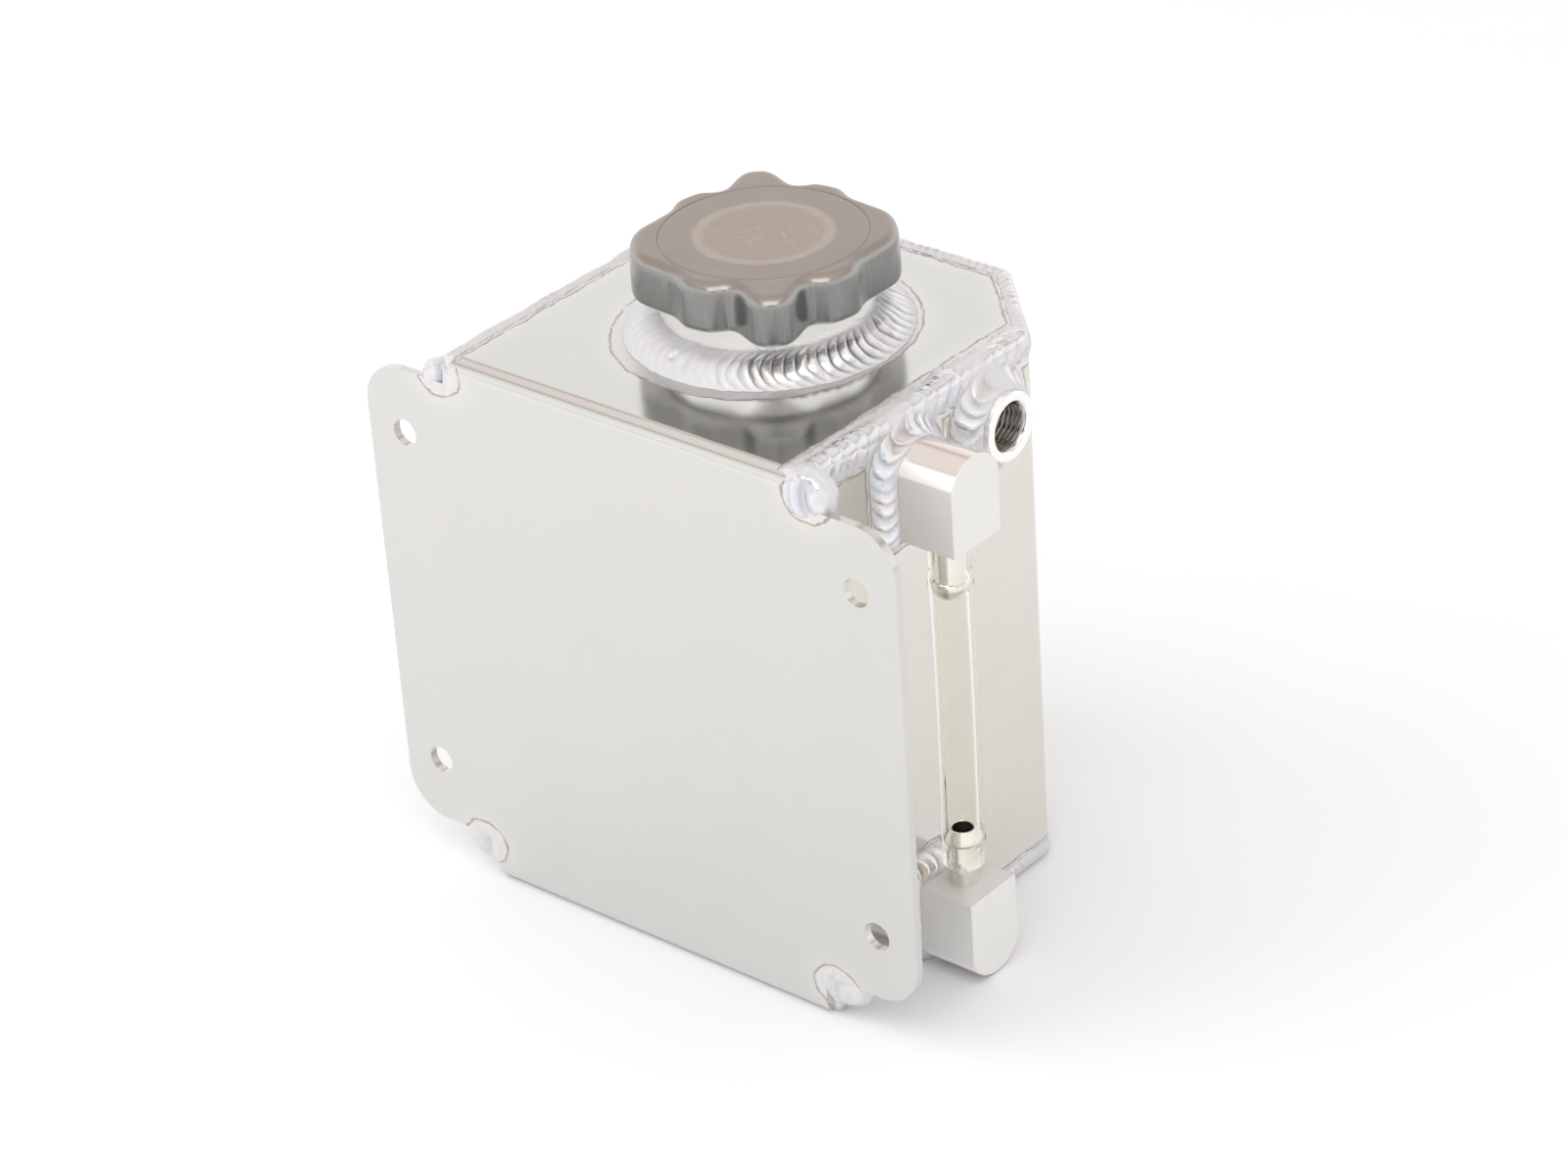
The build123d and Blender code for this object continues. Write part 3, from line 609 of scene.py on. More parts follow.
def make_block(name, face_z, up, stands_for):
    """A bar with one arched end: its outline swept along X, with its sharp edges just broken."""
    spring = face_z + up * (BLOCK_HEIGHT - BLOCK_ARCH)
    edge = 0.3
    loop = [(BLOCK_HALF - edge, face_z), (BLOCK_HALF, face_z + up * edge)]
    loop += [(BLOCK_HALF, face_z + (spring - face_z) * k / 6) for k in range(1, 7)]
    loop += arch_points(face_z, up, 48)
    loop += [(-BLOCK_HALF, face_z + (spring - face_z) * k / 6) for k in range(6, 0, -1)]
    loop += [(-BLOCK_HALF, face_z + up * edge), (-BLOCK_HALF + edge, face_z)]
    loop += [(BLOCK_HALF * f, face_z) for f in (-0.5, 0.0, 0.5)]
    middle_z = face_z + up * BLOCK_HEIGHT / 2
    rows = []
    stations = [(HALF_WIDTH - SHEET, 0.0)]
    stations += [(HALF_WIDTH + (BLOCK_LENGTH - edge) * k / 8, 0.0) for k in range(9)]
    stations += [(HALF_WIDTH + BLOCK_LENGTH, edge), (HALF_WIDTH + BLOCK_LENGTH, 4.0)]
    for x, inset in stations:
        shrink_y = 1 - inset / BLOCK_HALF
        shrink_z = 1 - inset / (BLOCK_HEIGHT / 2)
        rows.append([(x, BLOCK_Y + y * shrink_y, middle_z + (z - middle_z) * shrink_z) for y, z in loop])
    verts = np.array(rows).reshape(-1, 3)
    count = len(loop)
    faces = grid_faces(len(rows), count, False, True)
    faces.append(tuple(range(count)))
    faces.append(tuple((len(rows) - 1) * count + k for k in range(count))[::-1])
    return new_object(name, verts, faces, "tank", stands_for, smooth=14)


def barb_outline():
    tip = BARB_TIP
    return [
        (BARB_BORE_R, BARB_ROOT), (3.85, BARB_ROOT), (3.85, tip - 4.8), (3.95, tip - 4.5),
        (4.35, tip - 4.15), (4.6, tip - 3.8), (4.65, tip - 3.5), (4.62, tip - 3.2), (4.5, tip - 2.8),
        (4.0, tip - 1.2), (3.6, tip - 0.15), (3.45, tip), (3.05, tip), (BARB_BORE_R, tip - 0.2)]


def make_barb(name, face_z, out, stands_for):
    profile = [(r, face_z + out * h) for r, h in rounded(barb_outline(), 0.12, 3)]
    verts, faces = turned_mesh(profile, (BARB_X, BLOCK_Y), "z", 96)
    return new_object(name, verts, faces, "tank", stands_for, smooth=30)


def tube_rows():
    # (inner radius, outer radius, height) of the clear tube from its lower end up
    low_tip = LOWER_BLOCK_Z + BARB_TIP
    high_tip = UPPER_BLOCK_Z - BARB_TIP
    rows = []
    for z in np.linspace(TUBE_LOW_Z, TUBE_HIGH_Z, 200):
        bulge = 0.0
        for tip, out in ((low_tip, 1), (high_tip, -1)):
            bead_z = tip - out * BEAD_FROM_TIP
            bulge += 0.78 * math.exp(-((z - bead_z) / 1.9) ** 2)
        on_barb = z < low_tip or z > high_tip
        inner = 3.8 if on_barb else 3.95
        rows.append((inner + bulge, 5.55 + bulge * 0.5, z))
    return rows


def make_tube():
    rows = tube_rows()
    segments = 120
    points = []
    for k in range(segments):
        a = 2 * math.pi * k / segments
        loop = [(r[1], r[2]) for r in rows] + [(r[0], r[2]) for r in reversed(rows)]
        for radius, z in loop:
            mid = math.sin(math.pi * (z - TUBE_LOW_Z) / (TUBE_HIGH_Z - TUBE_LOW_Z))
            lean = 0.35 * mid * mid
            points.append((BARB_X + radius * math.cos(a) + lean, BLOCK_Y + radius * math.sin(a), z))
    faces = grid_faces(segments, 2 * len(rows), True, True)
    return new_object("clear_tube", points, faces, "tank", ["sight_tube"], smooth=50)


def swell(angle, middle, spread, power):
    return np.exp(-np.abs((angle - middle) / spread) ** power)


def cap_radius(angle):
    # angle in degrees from the axis of the two finger wings
    turn = (angle + 90) % 180 - 90
    to_side = 90 - np.abs(turn)
    reach = CAP_BASE_R + CAP_WING_RISE * swell(turn, 0, CAP_WING_SPREAD, 3)
    reach = reach + CAP_BARREL_RISE * swell(np.abs(turn), CAP_BARREL_ANGLE, CAP_BARREL_SPREAD, 4)
    reach = reach + CAP_SIDE_RISE * swell(to_side, 0, CAP_SIDE_SPREAD, 4)
    return reach - CAP_FLUTE * (swell(np.abs(turn), 19.5, 5.2, 2) + swell(np.abs(turn), 54.0, 5.6, 2) * 0.9)


def cap_outline(count=720):
    # points and outward normals of the cap's outline, in plan, about its axis
    angle = np.linspace(0, 360, count, endpoint=False)
    reach = cap_radius(angle)
    turn = np.radians(angle + CAP_WING_ANGLE)
    points = np.stack([reach * np.cos(turn), reach * np.sin(turn)], axis=1)
    along = np.roll(points, -1, axis=0) - np.roll(points, 1, axis=0)
    along = unit(along)
    return points, np.stack([along[:, 1], -along[:, 0]], axis=1)


def make_cap():
    points, normals = cap_outline()
    count = len(points)
    angle = np.arctan2(points[:, 1], points[:, 0])
    edge = CAP_EDGE
    foot = CAP_FOOT
    rings = []

    def add_ring(radius, z):
        rings.append(np.stack([radius * np.cos(angle), radius * np.sin(angle), np.full(count, z)], axis=1))

    def add_plan(plan, z):
        rings.append(np.concatenate([plan, np.full((count, 1), z)], axis=1))

    # underside, foot rounding, side with a faint draft, top rounding
    side_profile = []
    for k in range(5):
        a = math.pi / 2 * k / 4
        side_profile.append((foot * (1 - math.sin(a)), CAP_BOTTOM + foot * (1 - math.cos(a))))
    for k in range(1, 9):
        z = CAP_BOTTOM + foot + (CAP_TOP - edge - CAP_BOTTOM - foot) * k / 9
        side_profile.append((0.18 * k / 9, z))
    for k in range(9):
        a = math.pi / 2 * k / 8
        side_profile.append((0.2 + edge * (1 - math.cos(a)), CAP_TOP - edge + edge * math.sin(a)))
    bore_profile = [(CAP_BORE_R, z) for z in np.linspace(CAP_ROOF, CAP_BOTTOM + 0.5, 60)]
    bore_profile += [(CAP_BORE_R + 0.25, CAP_BOTTOM + 0.15), (CAP_BORE_R + 0.6, CAP_BOTTOM)]
    for r, z in [(RIVET_HOLE_R, CAP_ROOF), (CAP_BORE_R - 0.3, CAP_ROOF)]:
        add_ring(r, z)
    for r, z in bore_profile:
        ridge = thread_ridge(thread_part(z, angle, THREAD_PITCH, 0.5))
        fade = np.clip((CAP_ROOF - 3.6 - z) * 0.8, 0, 1) * np.clip(z - CAP_BOTTOM - 0.8, 0, 1)
        add_ring(r - 0.42 * ridge * fade, z)
    for inset, z in side_profile:
        add_plan(points - normals * inset, z)
    last = points - normals * (0.2 + edge)
    lip_r = RECESS_R + 0.3
    radial = np.stack([lip_r * np.cos(angle), lip_r * np.sin(angle)], axis=1)
    for f in np.linspace(0.15, 1.0, 8):
        add_plan(last * (1 - f) + radial * f, CAP_TOP)
    for r, z in [(RECESS_R + 0.12, CAP_TOP - 0.05), (RECESS_R, CAP_TOP - 0.16), (RECESS_R, CAP_TOP - DISC_T),
                 (RECESS_R - 2, CAP_TOP - DISC_T), (RIVET_HOLE_R, CAP_TOP - DISC_T)]:
        add_ring(r, z)
    verts = np.concatenate(rings)
    verts[:, 1] += NECK_Y
    faces = grid_faces(len(rings), count, True, True)
    return new_object("cap_body", verts, faces, "cap", ["cap_shell"], smooth=40)


def make_disc():
    profile = [(0.001, CAP_TOP - DISC_T + 0.02), (DISC_R - 0.2, CAP_TOP - DISC_T + 0.02)]
    profile += [(DISC_R, CAP_TOP - DISC_T + 0.2), (DISC_R, CAP_TOP - 0.28)]
    for k in range(1, 8):
        a = math.pi / 2 * k / 7
        profile.append((DISC_R - 0.9 * (1 - math.cos(a)), CAP_TOP - 0.28 + 0.28 * math.sin(a)))
    for r in np.linspace(DISC_R - 1.4, 0.001, 26):
        profile.append((r, CAP_TOP))
    verts, faces = turned_mesh(profile, (0, NECK_Y), "z", 180)
    return new_object("cap_disc", verts, faces, "cap", ["cap_top_disc"], smooth=40)


# Procedural materials

class Graph:
    """Short calls that add shader nodes to one node tree."""

    def __init__(self, tree):
        self.tree = tree
        tree.nodes.clear()

    def put(self, socket, value):
        if isinstance(value, bpy.types.NodeSocket):
            self.tree.links.new(value, socket)
        elif isinstance(value, (tuple, list)) and len(value) == 3 and socket.type == "RGBA":
            socket.default_value = (*value, 1.0)
        else:
            socket.default_value = value

    def node(self, kind, **inputs):
        made = self.tree.nodes.new("ShaderNode" + kind)
        for name, value in inputs.items():
            self.put(made.inputs[name.replace("_", " ")], value)
        return made

    def do(self, operation, a, b=None, c=None, clamp=False):
        node = self.node("Math")
        node.operation = operation
        node.use_clamp = clamp
        for socket, value in zip(node.inputs, (a, b, c)):
            if value is not None:
                self.put(socket, value)
        return node.outputs[0]

    def times(self, a, b):
        return self.do("MULTIPLY", a, b)

    def plus(self, a, b):
        return self.do("ADD", a, b)

    def minus(self, a, b, clamp=False):
        return self.do("SUBTRACT", a, b, clamp=clamp)

    def scaled(self, value, by, plus):
        return self.do("MULTIPLY_ADD", value, by, plus)

    def step(self, value, low, high, to_low=0.0, to_high=1.0):
        node = self.node("MapRange", Value=value, From_Min=low, From_Max=high, To_Min=to_low, To_Max=to_high)
        node.interpolation_type = "SMOOTHSTEP"
        return node.outputs["Result"]

    def fall(self, value, low, high):
        return self.step(value, low, high, 1.0, 0.0)

    def mix(self, factor, a, b, blend="MIX"):
        node = self.node("Mix")
        node.data_type = "RGBA"
        node.blend_type = blend
        self.put(node.inputs[0], factor)
        self.put(node.inputs[6], a)
        self.put(node.inputs[7], b)
        return node.outputs[2]


class Look(Graph):
    """One node material, with its places in millimetres like the sizes above."""

    def __init__(self, name):
        self.material = bpy.data.materials.new(name)
        self.material.use_nodes = True
        super().__init__(self.material.node_tree)
        self.shader = self.node("BsdfPrincipled")
        self.node("OutputMaterial", Surface=self.shader.outputs["BSDF"])
        scaled = self.node("VectorMath")
        scaled.operation = "SCALE"
        scaled.inputs["Scale"].default_value = 1 / MM
        self.put(scaled.inputs[0], self.node("TexCoord").outputs["Object"])
        self.place = scaled.outputs[0]
        self.x, self.y, self.z = self.node("SeparateXYZ", Vector=self.place).outputs

    def noise(self, scale, detail=3.0, rough=0.5, stretch=None, distortion=0.0):
        node = self.node("TexNoise", Scale=scale, Detail=detail, Roughness=rough, Distortion=distortion)
        vector = self.place
        if stretch is not None:
            vector = self.node("Mapping", Vector=vector, Scale=stretch).outputs[0]
        self.tree.links.new(vector, node.inputs["Vector"])
        return node.outputs["Fac"]

    def tint(self, colour, flag, amount, shade):
        return self.mix(self.times(flag, amount), colour, shade)

    def bump(self, height, strength, distance, after=None):
        node = self.node("Bump", Strength=strength, Distance=distance, Height=height)
        if after is not None:
            self.tree.links.new(after, node.inputs["Normal"])
        return node.outputs[0]

    def length(self, a, b):
        return self.do("SQRT", self.plus(self.times(a, a), self.times(b, b)))

    def least(self, values):
        out = values[0]
        for value in values[1:]:
            out = self.do("MINIMUM", out, value)
        return out

    def where(self, value, low, high):
        return self.times(self.do("GREATER_THAN", value, low), self.do("LESS_THAN", value, high))

    def finish(self, colour, rough, metal=1.0, **others):
        sockets = {"Base Color": colour, "Roughness": rough, "Metallic": metal, **others}
        for name, value in sockets.items():
            self.put(self.shader.inputs[name.replace("_", " ")], value)
        return self.material


def unless(look, flag, value, far=60.0):
    # value where flag is 1, a far distance elsewhere
    return look.plus(look.times(value, flag), look.times(look.minus(1.0, flag), far))


def rounded_box_distance(look, a, b, half_a, half_b, radius):
    qa = look.minus(look.do("ABSOLUTE", a), half_a - radius)
    qb = look.minus(look.do("ABSOLUTE", b), half_b - radius)
    outer = look.length(look.do("MAXIMUM", qa, 0.0), look.do("MAXIMUM", qb, 0.0))
    inner = look.do("MINIMUM", look.do("MAXIMUM", qa, qb), 0.0)
    return look.minus(look.plus(outer, inner), radius)


def sheet_look(name, toe_distance, pale, deep):
    look = Look(name)
    distance = toe_distance(look)
    wander = look.scaled(look.noise(0.16, 2.0, 0.6), 2.6, -0.35)
    ragged = look.scaled(look.noise(1.3, 3.0, 0.7), 0.9, -0.45)
    line_at = look.plus(wander, ragged)
    away = look.minus(distance, line_at)
    line = look.fall(look.do("ABSOLUTE", away), 0.1, 0.5)
    patchy = look.step(look.noise(0.2, 3.0, 0.65), 0.22, 0.55)
    line = look.times(line, patchy)
    etched = look.fall(away, -0.3, 0.2)
    haze = look.fall(distance, 0.5, 7.0)
    # rolled sheet: long faint streaks, cloudy patches, pin-point specks and a few fine scratches
    streak = look.noise(0.35, 4.0, 0.6, stretch=(0.16, 1.0, 1.6))
    cloud = look.noise(0.035, 4.0, 0.6)
    mottle = look.noise(0.22, 4.0, 0.65)
    specks = look.step(look.noise(1.15, 2.0, 0.5), 0.72, 0.78)
    scratch = look.step(look.noise(0.5, 2.0, 0.5, stretch=(0.25, 0.3, 9.0), distortion=0.4), 0.735, 0.76)
    colour = look.mix(cloud, deep, pale)
    colour = look.mix(look.step(mottle, 0.45, 0.72, 0.0, 0.22), colour, (0.70, 0.675, 0.63))
    colour = look.tint(colour, specks, 0.2, (0.45, 0.42, 0.36))
    colour = look.tint(colour, scratch, 0.16, (0.93, 0.92, 0.90))
    colour = look.tint(colour, haze, 0.25, (0.84, 0.825, 0.81))
    colour = look.tint(colour, etched, 0.5, (0.80, 0.795, 0.795))
    colour = look.tint(colour, line, 0.62, (0.28, 0.20, 0.12))
    rough = look.scaled(cloud, 0.05, 0.085)
    rough = look.scaled(streak, 0.05, rough)
    rough = look.scaled(etched, 0.26, rough)
    rough = look.scaled(line, 0.2, rough)
    grain = look.noise(3.2, 3.0, 0.6)
    normal = look.bump(streak, 0.07, 0.0002)
    normal = look.bump(grain, 0.04, 0.0001, normal)
    normal = look.bump(look.times(etched, look.noise(2.2, 3.0, 0.7)), 0.35, 0.00012, normal)
    return look.finish(colour, rough, Normal=normal)


def wrap_toes(look):
    ax = look.do("ABSOLUTE", look.x)
    on_top = look.do("GREATER_THAN", look.z, TOP_Z - 0.6)
    radius = look.length(look.x, look.minus(look.y, NECK_Y))
    forward = look.step(look.minus(NECK_Y, look.y), 0.0, 40.0, 0.0, 2.6)
    neck = look.minus(look.minus(radius, NECK_R + 10.4), forward)
    right = look.minus(HALF_WIDTH - 7.4, look.x)
    left = look.plus(look.x, HALF_WIDTH - 3.6)
    back = look.minus(DEPTH - 4.0, look.y)
    slant = look.minus(HALF_WIDTH + DEPTH - CUT, look.plus(ax, look.y))
    slant = look.scaled(slant, math.sqrt(0.5), -4.0)
    top = unless(look, on_top, look.least([neck, right, left, back, slant]))
    on_base = look.do("LESS_THAN", look.z, BOTTOM_Z + 0.6)
    base_side = look.minus(HALF_WIDTH - 3.2, ax)
    base_back = look.minus(DEPTH - 3.2, look.y)
    base = unless(look, on_base, look.least([base_side, base_back]))
    on_front = look.do("LESS_THAN", look.y, 0.5)
    across = look.do("DIVIDE", look.minus(ax, 61.8), 8.2)
    rise = look.do("DIVIDE", look.minus(look.do("ABSOLUTE", look.z), 72.2), 6.6)
    lump = look.scaled(look.length(across, rise), 6.4, -6.4)
    front = unless(look, on_front, look.plus(lump, 1.3))
    on_rear = look.where(look.y, SHEET - 0.3, SHEET + 0.3)
    ear = unless(look, look.times(on_rear, look.do("GREATER_THAN", ax, HALF_WIDTH)),
                 look.minus(ax, HALF_WIDTH + 5.8))
    return look.least([top, base, front, ear])


def wall_toes(look):
    ax = look.do("ABSOLUTE", look.x)
    on_side = look.do("GREATER_THAN", ax, HALF_WIDTH - 0.4)
    on_right = look.do("GREATER_THAN", look.x, HALF_WIDTH - 0.4)
    on_left = look.do("LESS_THAN", look.x, -HALF_WIDTH + 0.4)
    top_toe = look.scaled(on_side, -1.0, TOP_Z - 4.4)
    top_toe = look.scaled(on_right, -2.2, top_toe)
    upper = look.minus(top_toe, look.z)
    lower = look.minus(look.z, BOTTOM_Z + 5.9)
    flange = unless(look, on_side, look.minus(look.y, SHEET + 5.8))
    parts = [upper, lower, flange]
    for face_z, up in ((UPPER_BLOCK_Z, 1), (LOWER_BLOCK_Z, -1)):
        dy = look.minus(look.y, BLOCK_Y)
        dz = look.minus(look.z, face_z + up * BLOCK_HEIGHT / 2)
        near = rounded_box_distance(look, dy, dz, BLOCK_HALF + 5.3, BLOCK_HEIGHT / 2 + 5.3, 7.0)
        parts.append(unless(look, on_right, near))
    for centre, flag in ((VENT, on_right), (FEED, on_left)):
        dy = look.minus(look.y, centre[0])
        dz = look.minus(look.z, centre[1])
        near = look.minus(look.length(dy, dz), BUNG_R + 6.4)
        parts.append(unless(look, flag, near))
    return look.least(parts)


def weld_look():
    look = Look("weld_metal")
    run = look.tree.nodes.new("ShaderNodeVertexColor")
    run.layer_name = "run"
    split = look.tree.nodes.new("ShaderNodeSeparateColor")
    look.tree.links.new(run.outputs["Color"], split.inputs[0])
    dark = split.outputs[0]
    toe = look.scaled(split.outputs[2], 0.55, split.outputs[1])
    frost = look.scaled(look.noise(0.3, 3.0, 0.6), 0.9, -0.45)
    frost = look.step(look.plus(toe, frost), 0.05, 0.75)
    tint = look.noise(0.16, 3.0, 0.55)
    tint_two = look.noise(0.34, 2.0, 0.5, distortion=0.8)
    colour = look.mix(look.step(tint, 0.38, 0.62), (0.71, 0.73, 0.765), (0.79, 0.755, 0.74))
    colour = look.mix(look.step(tint_two, 0.5, 0.72, 0.0, 0.6), colour, (0.64, 0.675, 0.72))
    colour = look.tint(colour, frost, 0.7, (0.665, 0.66, 0.675))
    # painted shade in the ripple creases, a dark bluish painted reflection
    colour = look.mix(look.times(look.do("POWER", dark, 1.3), 0.92), colour, (0.07, 0.095, 0.15))
    # painted highlight on the rise of each ripple
    colour = look.mix(look.times(run.outputs["Alpha"], 0.85), colour, (0.98, 0.975, 0.975))
    fine_grain = look.noise(4.0, 3.0, 0.65)
    rough = look.scaled(look.noise(0.5, 3.0, 0.6), 0.12, 0.09)
    rough = look.scaled(frost, 0.36, rough)
    normal = look.bump(fine_grain, 0.10, 0.0001)
    normal = look.bump(look.noise(0.5, 2.0, 0.5), 0.10, 0.0004, normal)
    metal = look.scaled(frost, -0.45, 1.0)
    return look.finish(colour, rough, metal, Normal=normal)


def turned_look():
    look = Look("turned_aluminium")
    rings = look.noise(1.0, 2.0, 0.6, stretch=(0.05, 0.05, 9.0))
    cross = look.noise(1.0, 2.0, 0.6, stretch=(9.0, 0.05, 0.05))
    lines = look.times(look.plus(rings, cross), 0.5)
    cloud = look.noise(0.1, 3.0, 0.6)
    colour = look.mix(cloud, (0.95, 0.945, 0.93), (0.985, 0.98, 0.965))
    colour = look.mix(look.step(lines, 0.5, 0.75, 0.0, 0.25), colour, (0.82, 0.81, 0.79))
    # inside the two port bores the thread carries painted shade, darker with depth and darkest in the
    # grooves
    for centre, side in ((VENT, 1.0), (FEED, -1.0)):
        around = look.length(look.minus(look.y, centre[0]), look.minus(look.z, centre[1]))
        inside = look.fall(around, BUNG_BORE_R + 0.8, BUNG_BORE_R + 1.1)
        groove = look.step(around, BUNG_BORE_R + 0.1, BUNG_BORE_R + 0.45)
        reach = look.times(look.x, side)
        deep = look.fall(reach, HALF_WIDTH + 5.6, HALF_WIDTH + BUNG_REACH - 0.4)
        deep = look.times(look.times(inside, deep), look.do("GREATER_THAN", reach, 40.0))
        shade = look.mix(groove, (0.42, 0.37, 0.31), (0.06, 0.048, 0.036))
        colour = look.tint(colour, deep, 0.95, shade)
    rough = look.scaled(cloud, 0.08, 0.10)
    normal = look.bump(lines, 0.16, 0.0002)
    return look.finish(colour, rough, Normal=normal)


def bar_look():
    look = Look("milled_bar")
    saw = look.noise(1.0, 3.0, 0.6, stretch=(0.22, 3.0, 0.10))
    strokes = look.noise(1.0, 3.0, 0.6, stretch=(2.6, 2.6, 0.12))
    cloud = look.noise(0.12, 3.0, 0.6)
    lines = look.times(look.plus(saw, strokes), 0.5)
    colour = look.mix(cloud, (0.755, 0.75, 0.735), (0.795, 0.79, 0.775))
    colour = look.mix(look.step(lines, 0.48, 0.7, 0.0, 0.4), colour, (0.70, 0.69, 0.665))
    top_spring = UPPER_BLOCK_Z + BLOCK_HEIGHT - BLOCK_ARCH
    low_spring = LOWER_BLOCK_Z - BLOCK_HEIGHT + BLOCK_ARCH
    round_top = look.step(look.z, top_spring + 0.1, top_spring + 0.4)
    below = look.fall(look.z, low_spring - 0.4, low_spring - 0.1)
    bar_end = HALF_WIDTH + BLOCK_LENGTH
    shiny = look.do("MAXIMUM", round_top, below)
    shiny = look.times(shiny, look.fall(look.x, bar_end - 0.6, bar_end - 0.2))
    # the polished arch ends get a warm, darker tint: a painted reflection
    colour = look.tint(colour, shiny, 0.85, (0.76, 0.70, 0.665))
    # painted highlight along the front lip of each arch; it is also made rougher and less metallic
    painted_highlight_lip = look.times(shiny, look.fall(look.y, BLOCK_Y - 7.3, BLOCK_Y - 6.9))
    colour = look.mix(painted_highlight_lip, colour, (0.975, 0.97, 0.965))
    rough = look.scaled(lines, 0.10, 0.26)
    rough = look.scaled(painted_highlight_lip, 0.2, rough)
    rough = look.scaled(shiny, -0.22, rough)
    normal = look.bump(lines, 0.1, 0.0002)
    metal = look.scaled(shiny, 0.7, 0.2)
    metal = look.scaled(painted_highlight_lip, -0.6, metal)
    return look.finish(colour, rough, metal, Normal=normal)


def barb_look():
    look = Look("plated_barb")
    rings = look.noise(1.0, 2.0, 0.6, stretch=(0.05, 0.05, 7.0))
    cloud = look.noise(0.3, 3.0, 0.6)
    colour = look.mix(cloud, (0.80, 0.775, 0.72), (0.88, 0.865, 0.82))
    rough = look.scaled(rings, 0.08, 0.09)
    normal = look.bump(rings, 0.12, 0.00015)
    return look.finish(colour, rough, Normal=normal)


def cap_look():
    look = Look("cap_metal")
    radius = look.length(look.x, look.minus(look.y, NECK_Y))
    on_top = look.step(look.z, CAP_TOP - 1.3, CAP_TOP - 0.2)
    cloud = look.noise(0.09, 4.0, 0.6)
    mottle = look.noise(0.7, 4.0, 0.65)
    grain = look.noise(4.5, 3.0, 0.7)
    upright = look.noise(1.0, 3.0, 0.6, stretch=(1.3, 1.3, 0.08))
    wobble = look.scaled(look.noise(0.4, 3.0, 0.6), 1.6, -0.8)
    spread = look.plus(radius, wobble)
    worn = look.times(look.fall(spread, 18.2, 19.4), on_top)
    rim = look.fall(look.do("ABSOLUTE", look.minus(spread, 17.3)), 0.2, 2.4)
    rim = look.times(rim, worn)
    blot = look.step(look.noise(0.42, 3.0, 0.6, distortion=0.6), 0.53, 0.68)
    blot = look.times(look.times(blot, worn), look.step(radius, 4.0, 10.0, 1.0, 0.3))
    colour = look.mix(cloud, (0.225, 0.227, 0.225), (0.275, 0.275, 0.268))
    colour = look.mix(look.step(upright, 0.42, 0.7, 0.0, 0.45), colour, (0.35, 0.345, 0.33))
    brown = look.mix(cloud, (0.325, 0.28, 0.26), (0.385, 0.335, 0.305))
    colour = look.mix(on_top, colour, brown)
    colour = look.tint(colour, worn, 0.8, (0.44, 0.375, 0.325))
    colour = look.tint(colour, rim, 0.35, (0.58, 0.53, 0.48))
    colour = look.tint(colour, blot, 0.5, (0.60, 0.55, 0.50))
    # a lighter band on the top rounding: painted highlight
    edge = look.step(look.z, CAP_TOP - 3.0, CAP_TOP - 1.2)
    edge = look.minus(edge, on_top, clamp=True)
    colour = look.tint(colour, edge, 0.7, (0.43, 0.41, 0.385))
    under = look.step(look.z, CAP_BOTTOM + 0.1, CAP_BOTTOM + 0.9, 0.8, 0.0)
    colour = look.mix(under, colour, (0.72, 0.71, 0.69))
    rough = look.scaled(mottle, 0.08, 0.20)
    rough = look.scaled(on_top, 0.09, rough)
    rough = look.scaled(worn, 0.08, rough)
    normal = look.bump(grain, 0.10, 0.00012)
    normal = look.bump(mottle, 0.05, 0.0002, normal)
    return look.finish(colour, rough, Normal=normal)


def tube_look():
    look = Look("clear_tube")
    haze = look.noise(0.25, 3.0, 0.6)
    colour = look.mix(haze, (0.972, 0.972, 0.93), (0.99, 0.99, 0.965))
    rough = look.scaled(haze, 0.05, 0.07)
    return look.finish(colour, rough, 0.0, IOR=TUBE_IOR, Transmission_Weight=1.0)


def plain_look(name, scale, coarse, dark, pale, metal, rough_span, rough_low, relief):
    look = Look(name)
    grain = look.noise(scale, 3.0, coarse)
    rough = look.scaled(grain, rough_span, rough_low)
    normal = look.bump(grain, relief, 0.0002)
    return look.finish(look.mix(grain, dark, pale), rough, metal, Normal=normal)


def dress(obj, material):
    obj.data.materials.clear()
    obj.data.materials.append(material)


# Light, floor and camera

# colours of the world from straight down to straight up
WORLD_BANDS = (
    (0.0, (1.0, 1.0, 1.0)), (0.36, (1.0, 1.0, 1.0)), (0.46, (0.90, 0.90, 0.90)), (0.57, (0.90, 0.90, 0.90)),
    (0.61, (0.62, 0.50, 0.43)), (0.66, (0.64, 0.54, 0.48)), (0.73, (0.87, 0.82, 0.79)),
    (1.0, (0.90, 0.89, 0.88)))
WORLD_STRENGTH = 1.15
TO_PHOTOGRAPHER = (0.573, -0.650, 0.498)
PATCH_ANGLES = (12, 6)
PATCH_COLOUR = (0.15, 0.18, 0.24)
FLOOR_RADII = (0.0, 0.3, 0.8, 2.0, 6.0)
# azimuth, elevation and roll in degrees, then place in metres and lens in millimetres
CAMERA_TURN = (41.38, 29.89, -3.97)
CAMERA_AT = (0.73541, -0.77483, 0.63834)
CAMERA_LENS = 110.0
CAMERA_SENSOR = 36.0
LIGHTS_AIM = (0, 0.04, 0)


